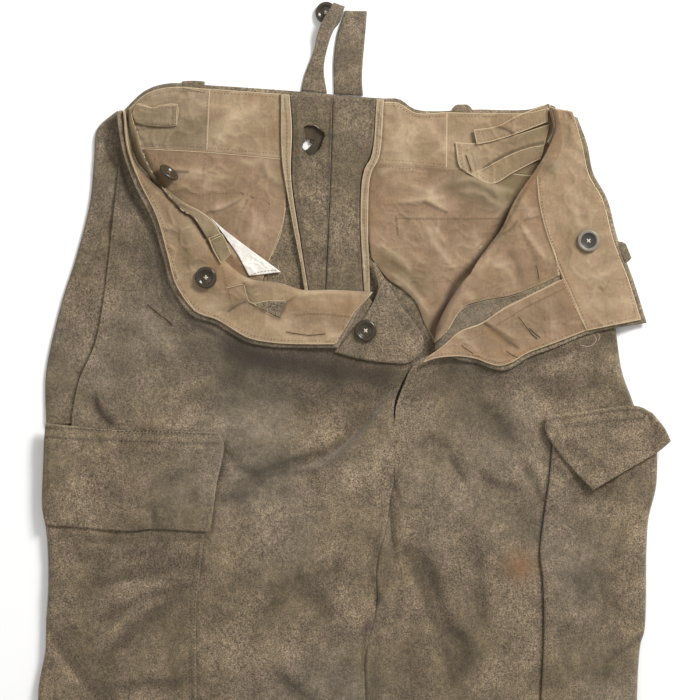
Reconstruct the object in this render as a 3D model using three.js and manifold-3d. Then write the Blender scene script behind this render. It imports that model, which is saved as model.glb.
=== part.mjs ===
// Combat trousers in wool with cotton facings, laid on their back with the button fly open and both fronts
// turned out. Millimetres, +Z up, the floor at z = 0. Right and left are the wearer's: the right leg lies at -X.
//
// Every outline is drawn on a drafting sheet of squares. Its rows have the columns [across, down], in squares,
// counted from the sheet's top left corner. Heights and thicknesses are in millimetres.
import * as THREE from 'three';
import { mergeVertices } from 'three/addons/utils/BufferGeometryUtils.js';
import Module from 'manifold-3d';

const wasm = await Module();
wasm.setup();

// ---------------------------------------------------------------- driving dimensions
const square = 0.9; // side of one drafting square
const sheetMiddle = 350; // squares from the sheet's edges to its middle
const hemLine = 1270; // squares down to the hems, which makes an outside leg of 1.06 m

const wool = 2.0; // felted wool cloth
const cotton = 1.0; // twill of the facings, linings and label
const tape = 1.8; // bound edge, tape over wool
const strap = 1.4; // doubled cotton strap
const allowance = 1.6; // pressed seam allowance
const gap = 0.3; // between two pieces that touch

const backLevel = wool / 2; // middle of the back's wall
const innerLevel = wool + gap + cotton / 2; // middle of the facings and linings of the back
const overLevel = 4.6; // middle of the tapes and straps on those facings
const frontLevel = 5.8; // middle of the front's wall
const layer = 2.4; // from one wool layer's middle to the next
const cottonOver = 2.2; // from the turned-out wool's middle to its cotton's middle

const ridgeLiftRight = 8.4; // height of the turned-out right front's fold, from wall middle to wall middle
const ridgeLiftLeft = 7.4; // the same on the left
const restingLift = 2.8; // where the turned-out cloth lies on the front below
const liftFade = 40; // distance over which the fold's height comes down to it

const buttonRadius = 10;
const buttonHeight = 3.4;
const buttonHoleRadius = 1.0;
const buttonHoleRing = 2.6; // from the button's middle to each hole's
const shankHeight = 0.9; // of the sewing thread under a button

// ---------------------------------------------------------------- outlines, [across, down] in squares
const sideRight = [[116, 109], [97, 129], [94, 155], [90, 200], [75, 260], [62, 300], [46, 370], [45, 400],
  [47, 423], [50, 440], [49, 500], [50, 540], [52, 600], [50, 650], [44, 700], [43, 730], [46, 850],
  [58, 1000], [76, 1150], [88, hemLine]];
const sideLeft = [[566, 112], [582, 160], [596, 220], [607, 280], [616, 331], [622, 372], [632, 400],
  [640, 425], [650, 465], [649, 487], [644, 519], [642, 551], [640, 600], [637, 640], [633, 700], [633, 730],
  [634, 850], [626, 1000], [612, 1150], [600, hemLine]];
const legDivision = [[394, 482], [390, 505], [384.5, 535], [379, 558], [377, 579], [378.5, 600], [374.5, 618],
  [369, 640], [366, 661], [366, 700]];
const innerLegRight = [...legDivision, [360, 850], [340, 1000], [318, 1150], [305, hemLine]];
const innerLegLeft = [...legDivision, [373, 850], [379, 1000], [382, 1150], [386, hemLine]];
const centreBack = [[333, 94], [330, 190], [325, 290], [345, 400], [388, 474]];
const crotchDown = 482; // squares down to the fork

const ridgeRight = [[125, 109], [129, 138], [134, 161], [145, 175], [158, 187], [177, 202], [197, 221], [207, 238],
  [218, 253], [232, 267], [250, 279], [280, 283], [303, 290], [331, 290], [373, 292]];
const waistRight = [[117, 113], [123, 150], [136, 187], [152, 219], [163, 257], [172, 288], [193, 316],
  [215, 324], [247, 342], [273, 347], [310, 348], [338, 348]];
const flyEndRight = [[357, 313], [350, 326]];
const ridgeLeft = [[550, 107], [554, 132], [549, 147], [540, 164], [514, 210], [494, 249], [460, 286],
  [440, 320], [432, 348]];
const waistLeft = [[577, 118], [587, 145], [593, 173], [607, 199], [618, 240], [633, 279], [647, 323]];
const flyEdgeLeft = [[464, 357], [490, 361], [512, 365], [555, 348], [588, 332], [618, 326]];
const facingSeamLeft = [[538, 186], [541, 207], [553, 249], [568, 290], [585, 331]];

// The largest folds of the fronts: ends in squares, then the half width and height in millimetres.
const foldColumns = ['fromAcross', 'fromDown', 'toAcross', 'toDown', 'width', 'height'];
const folds = [
  [205, 352, 330, 392, 22, 2.6], [262, 462, 372, 442, 11, 2.2], [225, 452, 352, 520, 12, 1.8],
  [94, 394, 126, 426, 9, 1.8], [300, 520, 372, 486, 10, 1.4], [215, 560, 340, 610, 14, 1.6],
  [215, 650, 330, 690, 12, 1.4], [415, 380, 520, 420, 16, 2.0], [412, 470, 515, 494, 13, 1.6],
  [418, 545, 470, 650, 11, 2.2], [480, 520, 505, 640, 13, 1.5], [555, 385, 610, 372, 10, 1.6],
  [120, 860, 300, 900, 20, 2.0], [110, 930, 320, 960, 20, 2.2], [420, 870, 590, 900, 20, 2.0],
  [420, 945, 600, 930, 20, 2.2], [130, 1130, 290, 1150, 16, 1.6], [410, 1140, 570, 1120, 16, 1.6],
].map((row) => Object.fromEntries(row.map((value, index) => [foldColumns[index], value])));

// ---------------------------------------------------------------- curves and heights
const smooth = (share) => share * share * (3 - 2 * share);
const between = (low, high, value) => smooth(THREE.MathUtils.clamp((value - low) / (high - low), 0, 1));

function curveThrough(rows) {
  const points = rows.map(([across, down]) => new THREE.Vector3(across, down, 0));
  return new THREE.CatmullRomCurve3(points, false, 'centripetal');
}

function distanceTo(rows, across, down) {
  // in millimetres, to the nearest straight piece of the line
  const here = new THREE.Vector3(across, down, 0);
  const nearest = new THREE.Vector3();
  const piece = new THREE.Line3();
  const distances = rows.slice(1).map((row, index) => {
    piece.set(new THREE.Vector3(...rows[index], 0), new THREE.Vector3(...row, 0));
    return piece.closestPointToPoint(here, true, nearest).distanceTo(here) * square;
  });
  return Math.min(...distances);
}

function foldRise(across, down) {
  return folds.reduce((rise, fold) => {
    const line = [[fold.fromAcross, fold.fromDown], [fold.toAcross, fold.toDown]];
    const away = distanceTo(line, across, down) / fold.width;
    return rise + fold.height * Math.exp(-away * away);
  }, 0);
}

const frontHeight = (across, down) => frontLevel + foldRise(across, down);

function flapRightHeight(across, down) {
  const away = distanceTo(ridgeRight, across, down);
  const resting = restingLift + layer * between(288, 326, across);
  const raised = Math.max(ridgeLiftRight, resting + 1.5);
  return frontHeight(across, down) + raised + (resting - raised) * between(4, liftFade, away);
}

const sideLeftAt = (down) => {
  const next = Math.max(1, sideLeft.findIndex((row) => row[1] >= down));
  const [low, high] = [sideLeft[next - 1], sideLeft[next]];
  return low[0] + ((high[0] - low[0]) * (down - low[1])) / (high[1] - low[1]);
};

function lapelHeight(across, down) {
  const away = distanceTo(ridgeLeft, across, down);
  const lift = ridgeLiftLeft + (restingLift - ridgeLiftLeft) * between(4, liftFade, away);
  const overhang = between(4, 34, across - sideLeftAt(down));
  return frontHeight(across, down) + lift - 4.4 * overhang;
}

const turnDepth = 6.2; // depth of a turned edge, without the length that is sunk in the front
const roomyStretch = 12; // beyond the turn, so wide a stretch holds the whole sunk length
const fadedStep = 0.5; // from point to point of a profile where the turn has faded out

// ---------------------------------------------------------------- one closed wall from a grid of points
function wallFrom(grid, thickness) {
  const rows = grid.length;
  const columns = grid[0].length;
  const outer = [];
  const inner = [];
  grid.forEach((line, row) => line.forEach((point, column) => {
    const down = grid[Math.min(row + 1, rows - 1)][column].clone().sub(grid[Math.max(row - 1, 0)][column]);
    const right = line[Math.min(column + 1, columns - 1)].clone().sub(line[Math.max(column - 1, 0)]);
    const normal = down.cross(right).normalize();
    const half = thickness(row, column) / 2;
    outer.push(...point.clone().addScaledVector(normal, half));
    inner.push(...point.clone().addScaledVector(normal, -half));
  }));
  const faces = [];
  const at = (row, column) => row * columns + column;
  const under = rows * columns;
  for (let row = 0; row < rows - 1; row += 1) {
    for (let column = 0; column < columns - 1; column += 1) {
      const [a, b, c, d] = [at(row, column), at(row, column + 1), at(row + 1, column), at(row + 1, column + 1)];
      faces.push(a, c, d, a, d, b);
      faces.push(a + under, d + under, c + under, a + under, b + under, d + under);
    }
  }
  const rim = [];
  for (let column = 0; column < columns - 1; column += 1) {
    rim.push([at(0, column), at(0, column + 1)], [at(rows - 1, column + 1), at(rows - 1, column)]);
  }
  for (let row = 0; row < rows - 1; row += 1) {
    rim.push([at(row + 1, 0), at(row, 0)], [at(row, columns - 1), at(row + 1, columns - 1)]);
  }
  rim.forEach(([from, to]) => faces.push(from, to, to + under, from, to + under, from + under));
  const geometry = new THREE.BufferGeometry();
  geometry.setAttribute('position', new THREE.Float32BufferAttribute([...outer, ...inner], 3));
  geometry.setIndex(faces);
  return geometry;
}

// ---------------------------------------------------------------- a cloth piece between four edges
// top and bottom run left to right; left and right hold only the points between those corners. An edge that
// turns down has a profile, a table with the columns [inset, drop, share of the full thickness].
function clothPiece({
  top, bottom, left = [], right = [], height, thickness, rows, columns, turn = {}, amount = {},
}) {
  const edges = {
    top: curveThrough(top),
    bottom: curveThrough(bottom),
    left: curveThrough([top[0], ...left, bottom[0]]),
    right: curveThrough([top.at(-1), ...right, bottom.at(-1)]),
  };
  const corner = [edges.top.getPointAt(0), edges.top.getPointAt(1), edges.bottom.getPointAt(0),
    edges.bottom.getPointAt(1)];
  const onSheet = (uShare, vShare) => {
    const [u, v] = [THREE.MathUtils.clamp(uShare, 0, 1), THREE.MathUtils.clamp(vShare, 0, 1)];
    const point = edges.top.getPointAt(u).multiplyScalar(1 - v);
    point.addScaledVector(edges.bottom.getPointAt(u), v);
    point.addScaledVector(edges.left.getPointAt(v), 1 - u);
    point.addScaledVector(edges.right.getPointAt(v), u);
    const weights = [(1 - u) * (1 - v), u * (1 - v), (1 - u) * v, u * v];
    weights.forEach((weight, index) => point.addScaledVector(corner[index], -weight));
    return point;
  };
  // stations along one direction: the profile's insets at each end, and even steps between them
  const stations = (startProfile, endProfile, count, length) => {
    // on a narrow stretch, what lies deeper than the turn itself is shortened
    const room = THREE.MathUtils.clamp((length - turnDepth) / roomyStretch, 0.1, 1);
    const depth = (inset) => (inset <= turnDepth ? inset : turnDepth + (inset - turnDepth) * room) / length;
    const start = (startProfile ?? []).map(([inset, drop, share]) => ({ at: depth(inset), drop, share }));
    const end = (endProfile ?? []).map(([inset, drop, share]) => ({ at: 1 - depth(inset), drop, share }));
    const from = start.length ? start.at(-1).at : 0;
    const to = end.length ? end.at(-1).at : 1;
    const steps = Array.from({ length: count + 1 }, (_, step) => (
      { at: from + ((to - from) * step) / count, drop: 0, share: 1 }));
    return [...start.slice(0, -1), ...steps, ...end.slice(0, -1).reverse()];
  };
  const faded = (profile, share) => profile?.map(([inset, drop, wall], index) => (
    [inset * share + index * fadedStep * (1 - share), drop * share, wall]));
  const rowShares = typeof rows === 'number' ? Array.from({ length: rows + 1 }, (_, row) => row / rows) : rows;
  const measure = (from, to) => from.distanceTo(to) * square;
  const walls = [];
  const grid = [];
  const rowStations = turn.top ? null : rowShares.map((at) => ({ at, drop: 0, share: 1 }));
  const rowCount = turn.top ? turn.top.length + rowShares.length - 1 : rowShares.length;
  for (let row = 0; row < rowCount; row += 1) {
    const v = rowStations ? rowStations[row].at : 0;
    const width = measure(onSheet(0, v), onSheet(1, v));
    const across = stations(
      faded(turn.left, amount.left ? amount.left(onSheet(0, v).y) : 1),
      faded(turn.right, amount.right ? amount.right(onSheet(1, v).y) : 1),
      columns,
      width,
    );
    grid.push(across.map((station) => {
      const depth = measure(onSheet(station.at, 0), onSheet(station.at, 1));
      const along = rowStations ? rowStations[row] : stations(turn.top, null, rowShares.length - 1, depth)[row];
      const point = onSheet(station.at, along.at);
      const z = height(point.x, point.y) - station.drop - along.drop;
      walls.push(thickness * Math.min(station.share, along.share));
      return new THREE.Vector3((point.x - sheetMiddle) * square, (sheetMiddle - point.y) * square, z);
    }));
  }
  const perRow = grid[0].length;
  return wallFrom(grid, (row, column) => walls[row * perRow + column]);
}

// ---------------------------------------------------------------- solids that join and cut
function toSolid(geometry) {
  const bare = geometry.clone();
  bare.deleteAttribute('normal');
  bare.deleteAttribute('uv');
  const merged = mergeVertices(bare, 1e-4);
  return new wasm.Manifold(new wasm.Mesh({
    numProp: 3,
    vertProperties: new Float32Array(merged.attributes.position.array),
    triVerts: new Uint32Array(merged.index.array),
  }));
}

function toGeometry(solid) {
  const mesh = solid.getMesh();
  const geometry = new THREE.BufferGeometry();
  geometry.setAttribute('position', new THREE.BufferAttribute(mesh.vertProperties, 3));
  geometry.setIndex(new THREE.BufferAttribute(mesh.triVerts, 1));
  return geometry;
}

function cutter(outline, low, high) {
  const shape = new THREE.Shape(outline.map(([across, down]) => (
    new THREE.Vector2((across - sheetMiddle) * square, (sheetMiddle - down) * square))));
  const geometry = new THREE.ExtrudeGeometry(shape, { depth: high - low, bevelEnabled: false });
  return toSolid(geometry.translate(0, 0, low));
}

// ---------------------------------------------------------------- materials and the group
const group = new THREE.Group();
const colours = {
  wool: { color: 0x6f675a, roughness: 0.95 },
  cotton: { color: 0xa48f72, roughness: 0.9 },
  olive: { color: 0x8d7f5f, roughness: 0.9 },
  tape: { color: 0xb09c7a, roughness: 0.85 },
  button: { color: 0x3d362c, roughness: 0.35 },
  greyButton: { color: 0x6d6a68, roughness: 0.35 },
  label: { color: 0xe8e6e0, roughness: 0.8 },
};

function add(name, colour, geometry) {
  const material = new THREE.MeshStandardMaterial({ ...colours[colour], metalness: 0 });
  const mesh = new THREE.Mesh(geometry, material);
  mesh.name = name;
  group.add(mesh);
  return mesh;
}

// ---------------------------------------------------------------- edges that turn down, [inset, drop, share]
const sideTurn = [[wool / 2, frontLevel - 0.5, 1], [wool / 2, 3.2, 1], [1.7, 1.1, 1], [3.8, 0, 1]];
const backInset = wool + gap + 2.0; // the back's edge lies inside the front's turned side
const edgeStrip = 3; // width of the first strip of cloth beside such an edge

function ridgeTurn(lift, outerInset, radius, tuck) {
  // half a round from the layer below up to the turned-out layer; tuck is the length sunk in the front
  const half = lift / 2;
  const round = [[radius, lift, 1], [0.3 * radius, 1.7 * half, 1], [0, half, 1], [0.3 * radius, 0.3 * half, 1],
    [radius, 0, 1]].map(([inset, drop, share]) => [outerInset + inset, drop, share]);
  const sunk = tuck ? [[outerInset + radius + tuck, lift, 0.6], [outerInset + radius + 0.6, lift, 0.6]] : [];
  return [...sunk, ...round.slice(1)];
}

const belowFork = (down) => between(crotchDown - 10, crotchDown + 26, down);
const legRows = [
  ...Array.from({ length: 24 }, (_, row) => (0.52 * row) / 24),
  ...Array.from({ length: 11 }, (_, row) => 0.52 + (0.48 * row) / 10),
];

// ---------------------------------------------------------------- backs
const drawnIn = (inset) => [[inset, 0, 1], [inset + edgeStrip, 0, 1]];

const backRight = clothPiece({
  top: [[127, 106], [145, 90], [167, 83], [212, 85], [286, 90], [332.8, 94]],
  left: [[104, 131], [98, 157], ...sideRight.slice(3, -1)],
  right: [...centreBack.slice(1), ...innerLegRight.slice(0, -1)],
  bottom: [sideRight.at(-1), innerLegRight.at(-1)],
  height: () => backLevel,
  thickness: wool,
  rows: legRows,
  columns: 3,
  turn: { left: drawnIn(backInset), right: drawnIn(backInset + 2) },
  amount: { right: (down) => 0.08 + 0.92 * belowFork(down) },
});

const backLeft = clothPiece({
  top: [[333.2, 94], [383, 98], [399, 98.5], [416, 109], [480, 109], [529, 109], [549, 104], [560, 109]],
  left: [...centreBack.slice(1), ...innerLegLeft.slice(0, -1)],
  right: [[576, 160], ...sideLeft.slice(2, -1)],
  bottom: [innerLegLeft.at(-1), sideLeft.at(-1)],
  height: () => backLevel,
  thickness: wool,
  rows: legRows,
  columns: 3,
  turn: { left: drawnIn(backInset + 2), right: drawnIn(backInset) },
  amount: { left: (down) => 0.08 + 0.92 * belowFork(down) },
});

// the torn hole beside the centre seam: right through the back, and wider in the allowance over it
const tornHole = [[302, 143], [307, 140], [311, 142.5], [310.5, 147], [305, 149], [302, 147]];
const tornAllowance = [[301.5, 131], [307, 128], [313, 131], [318, 130.5], [324, 140], [319, 147], [311, 152],
  [304, 155], [301, 145]];
add('back_right', 'wool', toGeometry(toSolid(backRight).subtract(cutter(tornHole, -1, 3))));
add('back_left', 'wool', backLeft);

// ---------------------------------------------------------------- fronts
const slantMouth = [[119, 160], [115, 200], [96, 340], [79, 381], [72, 416], [70, 428], [53, 431]];
const frontRightEdge = [[386, 320], [405, 350], [408.5, 364], [405, 376], [399, 388], [394.3, 404],
  [393.6, 440]];
const flyFoldLeft = [[395.8, 407], [398.5, 398], [404, 384], [409.5, 371], [416, 362], [424, 357]];
const moved = (rows, across, down) => rows.map((row) => [row[0] + across, row[1] + down]);
const besideLeg = 0.7; // squares from the line between the legs to each leg

const frontRightLower = clothPiece({
  top: moved(ridgeRight, -4.2, 5.6),
  left: [...slantMouth, ...sideRight.slice(10, -1)],
  right: [...frontRightEdge, ...moved(innerLegRight.slice(0, -1), -besideLeg, 0)],
  bottom: [sideRight.at(-1), innerLegRight.at(-1)],
  height: frontHeight,
  thickness: wool,
  rows: legRows,
  columns: 9,
  turn: { left: sideTurn, right: sideTurn },
  amount: { left: (down) => between(428, 446, down), right: belowFork },
});

const flapRows = Array.from({ length: 8 }, (_, row) => row / 7);
const rollOutline = {
  top: ridgeRight,
  bottom: waistRight,
  right: flyEndRight,
  rows: flapRows,
  columns: 21,
};
const frontRightFlap = clothPiece({
  ...rollOutline,
  height: flapRightHeight,
  thickness: wool,
  turn: { top: ridgeTurn(ridgeLiftRight, 3.0, 3.1, 7) },
});

const frontLeftLower = clothPiece({
  top: [...flyFoldLeft, ...moved([...ridgeLeft].reverse(), 6.3, 3.1), [565, 117]],
  left: [[394.8, 440], ...moved(innerLegLeft.slice(0, -1), besideLeg, 0)],
  right: sideLeft.slice(1, -1),
  bottom: [innerLegLeft.at(-1), sideLeft.at(-1)],
  height: frontHeight,
  thickness: wool,
  rows: legRows,
  columns: 9,
  turn: { left: sideTurn, right: sideTurn },
  amount: { left: belowFork },
});

const lapelOutline = {
  top: [ridgeLeft[0], waistLeft[0]],
  left: ridgeLeft.slice(1, -1),
  right: waistLeft.slice(1, -1),
  bottom: [ridgeLeft.at(-1), ...flyEdgeLeft, waistLeft.at(-1)],
  rows: 16,
  columns: 10,
};
const frontLeftFlap = clothPiece({
  ...lapelOutline,
  height: lapelHeight,
  thickness: wool,
  turn: { left: ridgeTurn(ridgeLiftLeft, 3.0, 3.1, 7) },
});

add('front_right', 'wool', toGeometry(toSolid(frontRightLower).add(toSolid(frontRightFlap))));
add('front_left', 'wool', toGeometry(toSolid(frontLeftLower).add(toSolid(frontLeftFlap))));

add('side_panel_right', 'wool', clothPiece({
  top: [[117, 110], [128, 122]],
  left: sideRight.slice(1, 8),
  right: [[127, 200], [108, 340], [92, 384]],
  bottom: [[46, 426], [82, 424]],
  height: () => frontLevel - layer,
  thickness: wool,
  rows: 14,
  columns: 3,
  turn: { left: sideTurn.map(([inset, drop, share]) => [inset, drop * 0.55, share]) },
}));

// ---------------------------------------------------------------- inside of the back
const inside = (name, colour, outline, rows = 3, columns = 6) => add(name, colour, clothPiece({
  ...outline, height: () => innerLevel, thickness: cotton, rows, columns,
}));

inside('back_facing_right_side', 'olive', {
  top: [[128, 109], [145, 94], [167, 87], [210, 88.5]],
  bottom: [[140, 146], [207, 150]],
});
inside('back_facing_right', 'cotton', {
  top: [[211, 88.5], [286, 94]],
  bottom: [[208, 150.3], [284, 157]],
});
inside('back_facing_left', 'cotton', {
  top: [[376, 101.5], [398, 102.5], [416, 112.5], [447.5, 112]],
  bottom: [[371, 162], [447, 167.5]],
});
inside('back_facing_left_side', 'cotton', {
  top: [[448.5, 112], [529, 112.5], [549, 108], [560, 114]],
  right: [[562, 140]],
  bottom: [[448, 168], [500, 171], [549, 177]],
});
inside('back_lining_right', 'cotton', {
  top: [[140, 147], [207, 151], [284, 158]],
  left: [[156, 188], [187, 235], [220, 275]],
  right: [[285, 212], [279, 235], [269, 260]],
  bottom: [[240, 302], [256, 300]],
}, 7, 6);
inside('back_lining_left', 'cotton', {
  top: [[370, 163], [448, 169], [548, 178]],
  left: [[365, 200]],
  right: [[522, 226], [480, 285]],
  bottom: [[371, 257], [388, 279], [403, 289], [416, 302], [425, 324], [436, 344]],
}, 7, 8);

// ---------------------------------------------------------------- centre-back allowances and their tapes
const over = (name, colour, thickness, outline, rows, columns, height = () => overLevel) => add(
  name,
  colour,
  clothPiece({ ...outline, height, thickness, rows, columns }),
);

const allowanceRight = clothPiece({
  top: [[290, 95], [332.7, 97]],
  left: [[293, 129], [292, 177], [301, 240]],
  right: [[329.8, 190]],
  bottom: [[309, 284], [325, 284]],
  height: () => overLevel,
  thickness: allowance,
  rows: 8,
  columns: 4,
});
add('seam_allowance_right', 'wool', toGeometry(toSolid(allowanceRight).subtract(cutter(tornAllowance, 3, 7))));
over('seam_allowance_left', 'wool', allowance, {
  top: [[333.3, 97], [376, 98]],
  left: [[330.4, 190]],
  right: [[370.6, 153], [362, 172], [359.4, 218]],
  bottom: [[325.6, 284], [363, 284]],
}, 8, 4);
over('seam_binding_right', 'tape', tape, {
  top: [[280.7, 94], [289.5, 94.5]],
  left: [[281.7, 159], [289.6, 208], [300, 262]],
  right: [[292, 129], [291, 177], [300, 240]],
  bottom: [[304.5, 286], [308.4, 286]],
}, 8, 2);
over('seam_binding_left', 'tape', tape, {
  top: [[376.5, 99], [384, 99.5]],
  left: [[371.6, 155], [363.4, 172], [360.4, 218]],
  right: [[379, 157], [371, 174], [368, 218]],
  bottom: [[364, 284], [370, 284]],
}, 10, 2);

// ---------------------------------------------------------------- cotton on the turned-out fronts
// The cotton follows its wool at one distance, and an outline cuts it to its piece.
const rollCotton = toSolid(clothPiece({
  ...rollOutline,
  height: (across, down) => flapRightHeight(across, down) + cottonOver,
  thickness: cotton,
  turn: { top: ridgeTurn(ridgeLiftRight + 2 * cottonOver, 0.5, 5.5, 0) },
}));
const rollFacing = [[117, 100], [124, 113], [128, 150], [140.5, 184], [156.5, 216], [167.5, 255], [176.5, 286],
  [196, 312], [217, 320], [248, 338], [274, 343], [310, 344.5], [335, 344.5], [347, 325], [355, 312],
  [371, 291], [380, 270], [240, 250]];
add('front_facing_right', 'cotton', toGeometry(rollCotton.intersect(cutter(rollFacing, 0, 40))));

// The lapel's cotton follows its wool at one distance, and three outlines cut it into its pieces.
const lapelCotton = toSolid(clothPiece({
  ...lapelOutline,
  height: (across, down) => lapelHeight(across, down) + cottonOver,
  thickness: cotton,
  turn: { left: ridgeTurn(ridgeLiftLeft + 2 * cottonOver, 0.5, 5.4, 0) },
}));
const lapelPieces = {
  front_lining_left: [[530, 90], [556, 90], [560, 150], ...facingSeamLeft.slice(0, 3), [558, 275], [538, 285],
    [512, 295], [481, 301], [462, 308], [446, 334], [425, 345], [425, 300]],
  fly_placket_left: [[438, 360], [446, 346], [459, 331], [481, 323], [503, 309], [531, 295], [561, 280],
    [568, 295], [584, 330], [590, 345], [556, 344.5], [512, 361.5], [490, 357.5], [464, 353.5], [446, 356]],
  front_facing_left: [[560.5, 90], [572, 112], [582, 146], [588.5, 174], [602.5, 200], [613.5, 241],
    [628.5, 280], [642, 320], [616, 323], [585.5, 330],
    ...moved([...facingSeamLeft].reverse().slice(1), 0.7, 0),
    [560.7, 150], [556.6, 90]],
};
Object.entries(lapelPieces).forEach(([name, outline]) => {
  add(name, 'cotton', toGeometry(lapelCotton.intersect(cutter(outline, 0, 40))));
});

// ---------------------------------------------------------------- fly underlap
add('fly_underlap', 'wool', clothPiece({
  top: [[372, 262], [375, 262.5]],
  left: [[378, 288], [366, 314], [350, 334]],
  right: [[386, 281], [400, 304], [412, 320], [423, 338]],
  bottom: [[334, 352], [351, 357], [371, 361], [391, 363], [408, 363], [422, 352]],
  height: (across, down) => frontHeight(across, down) + layer + gap,
  thickness: wool,
  rows: 8,
  columns: 5,
}));

// ---------------------------------------------------------------- thigh pockets and flaps
const pocketFullness = 0.7;
const onFront = (layers) => (across, down) => frontHeight(across, down) + layers * layer + pocketFullness;
const pocketTurn = sideTurn.map(([inset, drop, share]) => [inset, drop * 1.3, share]);
add('cargo_pocket_right', 'wool', clothPiece({
  top: [[44.5, 440], [207, 442]],
  left: [[42.5, 476], [42, 508], [46, 530], [48, 560], [48, 592], [46, 622], [45, 652], [39, 684], [38, 700]],
  right: [[209, 500], [203, 546], [200, 572], [196, 604], [197, 700]],
  bottom: [[39, 722], [197, 722]],
  height: onFront(1),
  thickness: wool,
  rows: 12,
  columns: 6,
  turn: { left: pocketTurn },
}));
add('cargo_flap_right', 'wool', clothPiece({
  top: [[46, 423], [116, 430], [218, 432]],
  left: [[44.5, 441], [43.5, 476], [43.5, 508]],
  right: [[224, 443], [217, 483], [210, 527]],
  bottom: [[46, 525], [65, 526], [129, 531], [152, 529], [207, 532]],
  height: onFront(2),
  thickness: wool,
  rows: 6,
  columns: 8,
}));
add('cargo_pocket_left', 'wool', clothPiece({
  top: [[553, 440], [654, 432]],
  left: [[549, 482], [544, 517], [540, 553], [543, 581], [544, 638], [541, 700]],
  right: [[657, 453], [656, 487], [648.5, 519], [646.5, 551], [644.5, 631], [640.5, 645], [637, 700]],
  bottom: [[541, 722], [637, 722]],
  height: onFront(1),
  thickness: wool,
  rows: 12,
  columns: 6,
  turn: { right: pocketTurn },
}));
const turnedUp = (across, down) => 4.5 * between(455, 490, down) + 3.5 * between(640, 668, across);
add('cargo_flap_left', 'wool', clothPiece({
  top: [[545, 416], [579, 412], [637, 406], [652, 413]],
  left: [[545, 431], [553, 445], [568, 464]],
  right: [[664, 428]],
  bottom: [[592, 490], [621, 473], [657, 452], [670, 441]],
  height: (across, down) => onFront(2)(across, down) + turnedUp(across, down),
  thickness: wool,
  rows: 6,
  columns: 8,
}));

// ---------------------------------------------------------------- centre-back tabs
const tabBase = backLevel + 0.1;
add('back_tab_left', 'wool', clothPiece({
  top: [[345, 10], [367, 10.5]],
  left: [[341, 22], [337, 35], [333.6, 60]],
  right: [[366, 25], [362, 76]],
  bottom: [[334, 93.6], [363, 95.2]],
  height: () => tabBase,
  thickness: wool,
  rows: 8,
  columns: 3,
}));
add('back_tab_right', 'wool', clothPiece({
  top: [[334, 3], [345, 7]],
  left: [[322, 22], [317, 35], [314, 49], [304, 76]],
  right: [[340, 22], [334, 30], [329, 42], [324, 64], [324, 74]],
  bottom: [[301, 90.4], [327, 92.8]],
  height: (across, down) => tabBase + 10.6 * (1 - between(6, 66, down)),
  thickness: wool,
  rows: 10,
  columns: 3,
}));

// ---------------------------------------------------------------- waist adjusters
over('waist_strap_right', 'olive', strap, {
  top: [[134, 107], [177, 106]],
  bottom: [[137, 127], [177, 126]],
}, 1, 3);
over('waist_strap_right_free', 'olive', strap, {
  top: [[134, 127.4], [142, 127.4]],
  left: [[136, 158], [149, 174], [162, 186], [181, 200], [201, 219]],
  right: [[143, 145], [155, 171], [166, 182], [185, 196], [209, 216]],
  bottom: [[213, 239], [222, 232]],
}, 12, 2, (across, down) => overLevel + 4.4 * between(130, 165, down));
over('waist_strap_left_upper', 'cotton', strap, {
  top: [[475, 129], [512, 117], [548, 104]],
  bottom: [[477, 145], [512, 137], [548, 124]],
}, 2, 6);
over('waist_strap_left_lower', 'cotton', strap, {
  top: [[455, 142], [481, 152], [547, 137]],
  bottom: [[460, 166], [490, 184], [541, 158]],
}, 2, 6, (across, down) => overLevel + 1.8 * between(0, 10, down - 137) * between(528, 548, across));
over('strap_loop_left', 'cotton', strap, {
  top: [[549.3, 104.5], [551, 104.5]],
  left: [[549.3, 120]],
  right: [[551, 120]],
  bottom: [[548.5, 134], [550.5, 134]],
}, 2, 1);

// ---------------------------------------------------------------- belt loops, whose ends stand beyond the waist
over('belt_loop_right_back', 'wool', wool, {
  top: [[184, 80], [204, 80.5]],
  bottom: [[184, 82.8], [204, 83.8]],
}, 1, 2, () => tabBase);
over('belt_loop_left_back', 'wool', wool, {
  top: [[453, 103.2], [472, 103.4]],
  bottom: [[453, 107], [472, 107.2]],
}, 1, 2, () => tabBase);
over('belt_loop_left_side', 'wool', wool, {
  top: [[620.2, 242], [626, 243]],
  bottom: [[627.4, 261], [632, 259]],
}, 2, 1, () => 6.6);

// ---------------------------------------------------------------- care label
over('care_label', 'label', cotton, {
  top: [[209, 216], [226, 231], [281, 272]],
  bottom: [[216, 224], [237, 254], [249, 276]],
}, 3, 5, () => overLevel - 0.4);

// ---------------------------------------------------------------- buttons
function button() {
  // columns [radius, height] of the turned blank: a dished middle inside a raised round rim
  const profile = [[0, 0], [7.5, 0], [9.4, 0.7], [buttonRadius, 1.8], [9.3, 3.0], [8.2, buttonHeight],
    [7.0, 3.0], [6.0, 2.0], [0, 1.8]].map(([radius, height]) => new THREE.Vector2(radius, height));
  const blank = toSolid(new THREE.LatheGeometry(profile, 14).rotateX(Math.PI / 2));
  return [0, 1, 2, 3].reduce((solid, index) => {
    const angle = Math.PI / 4 + (index * Math.PI) / 2;
    const hole = new THREE.CylinderGeometry(buttonHoleRadius, buttonHoleRadius, 3 * buttonHeight, 6);
    hole.rotateX(Math.PI / 2);
    hole.translate(buttonHoleRing * Math.cos(angle), buttonHoleRing * Math.sin(angle), 0);
    return solid.subtract(toSolid(hole));
  }, blank);
}

const buttonGeometry = toGeometry(button());
function addButton(name, colour, across, down, level, normal) {
  const mesh = add(name, colour, buttonGeometry.clone());
  mesh.position.set((across - sheetMiddle) * square, (sheetMiddle - down) * square, level);
  mesh.quaternion.setFromUnitVectors(new THREE.Vector3(0, 0, 1), normal.normalize());
}

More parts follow.
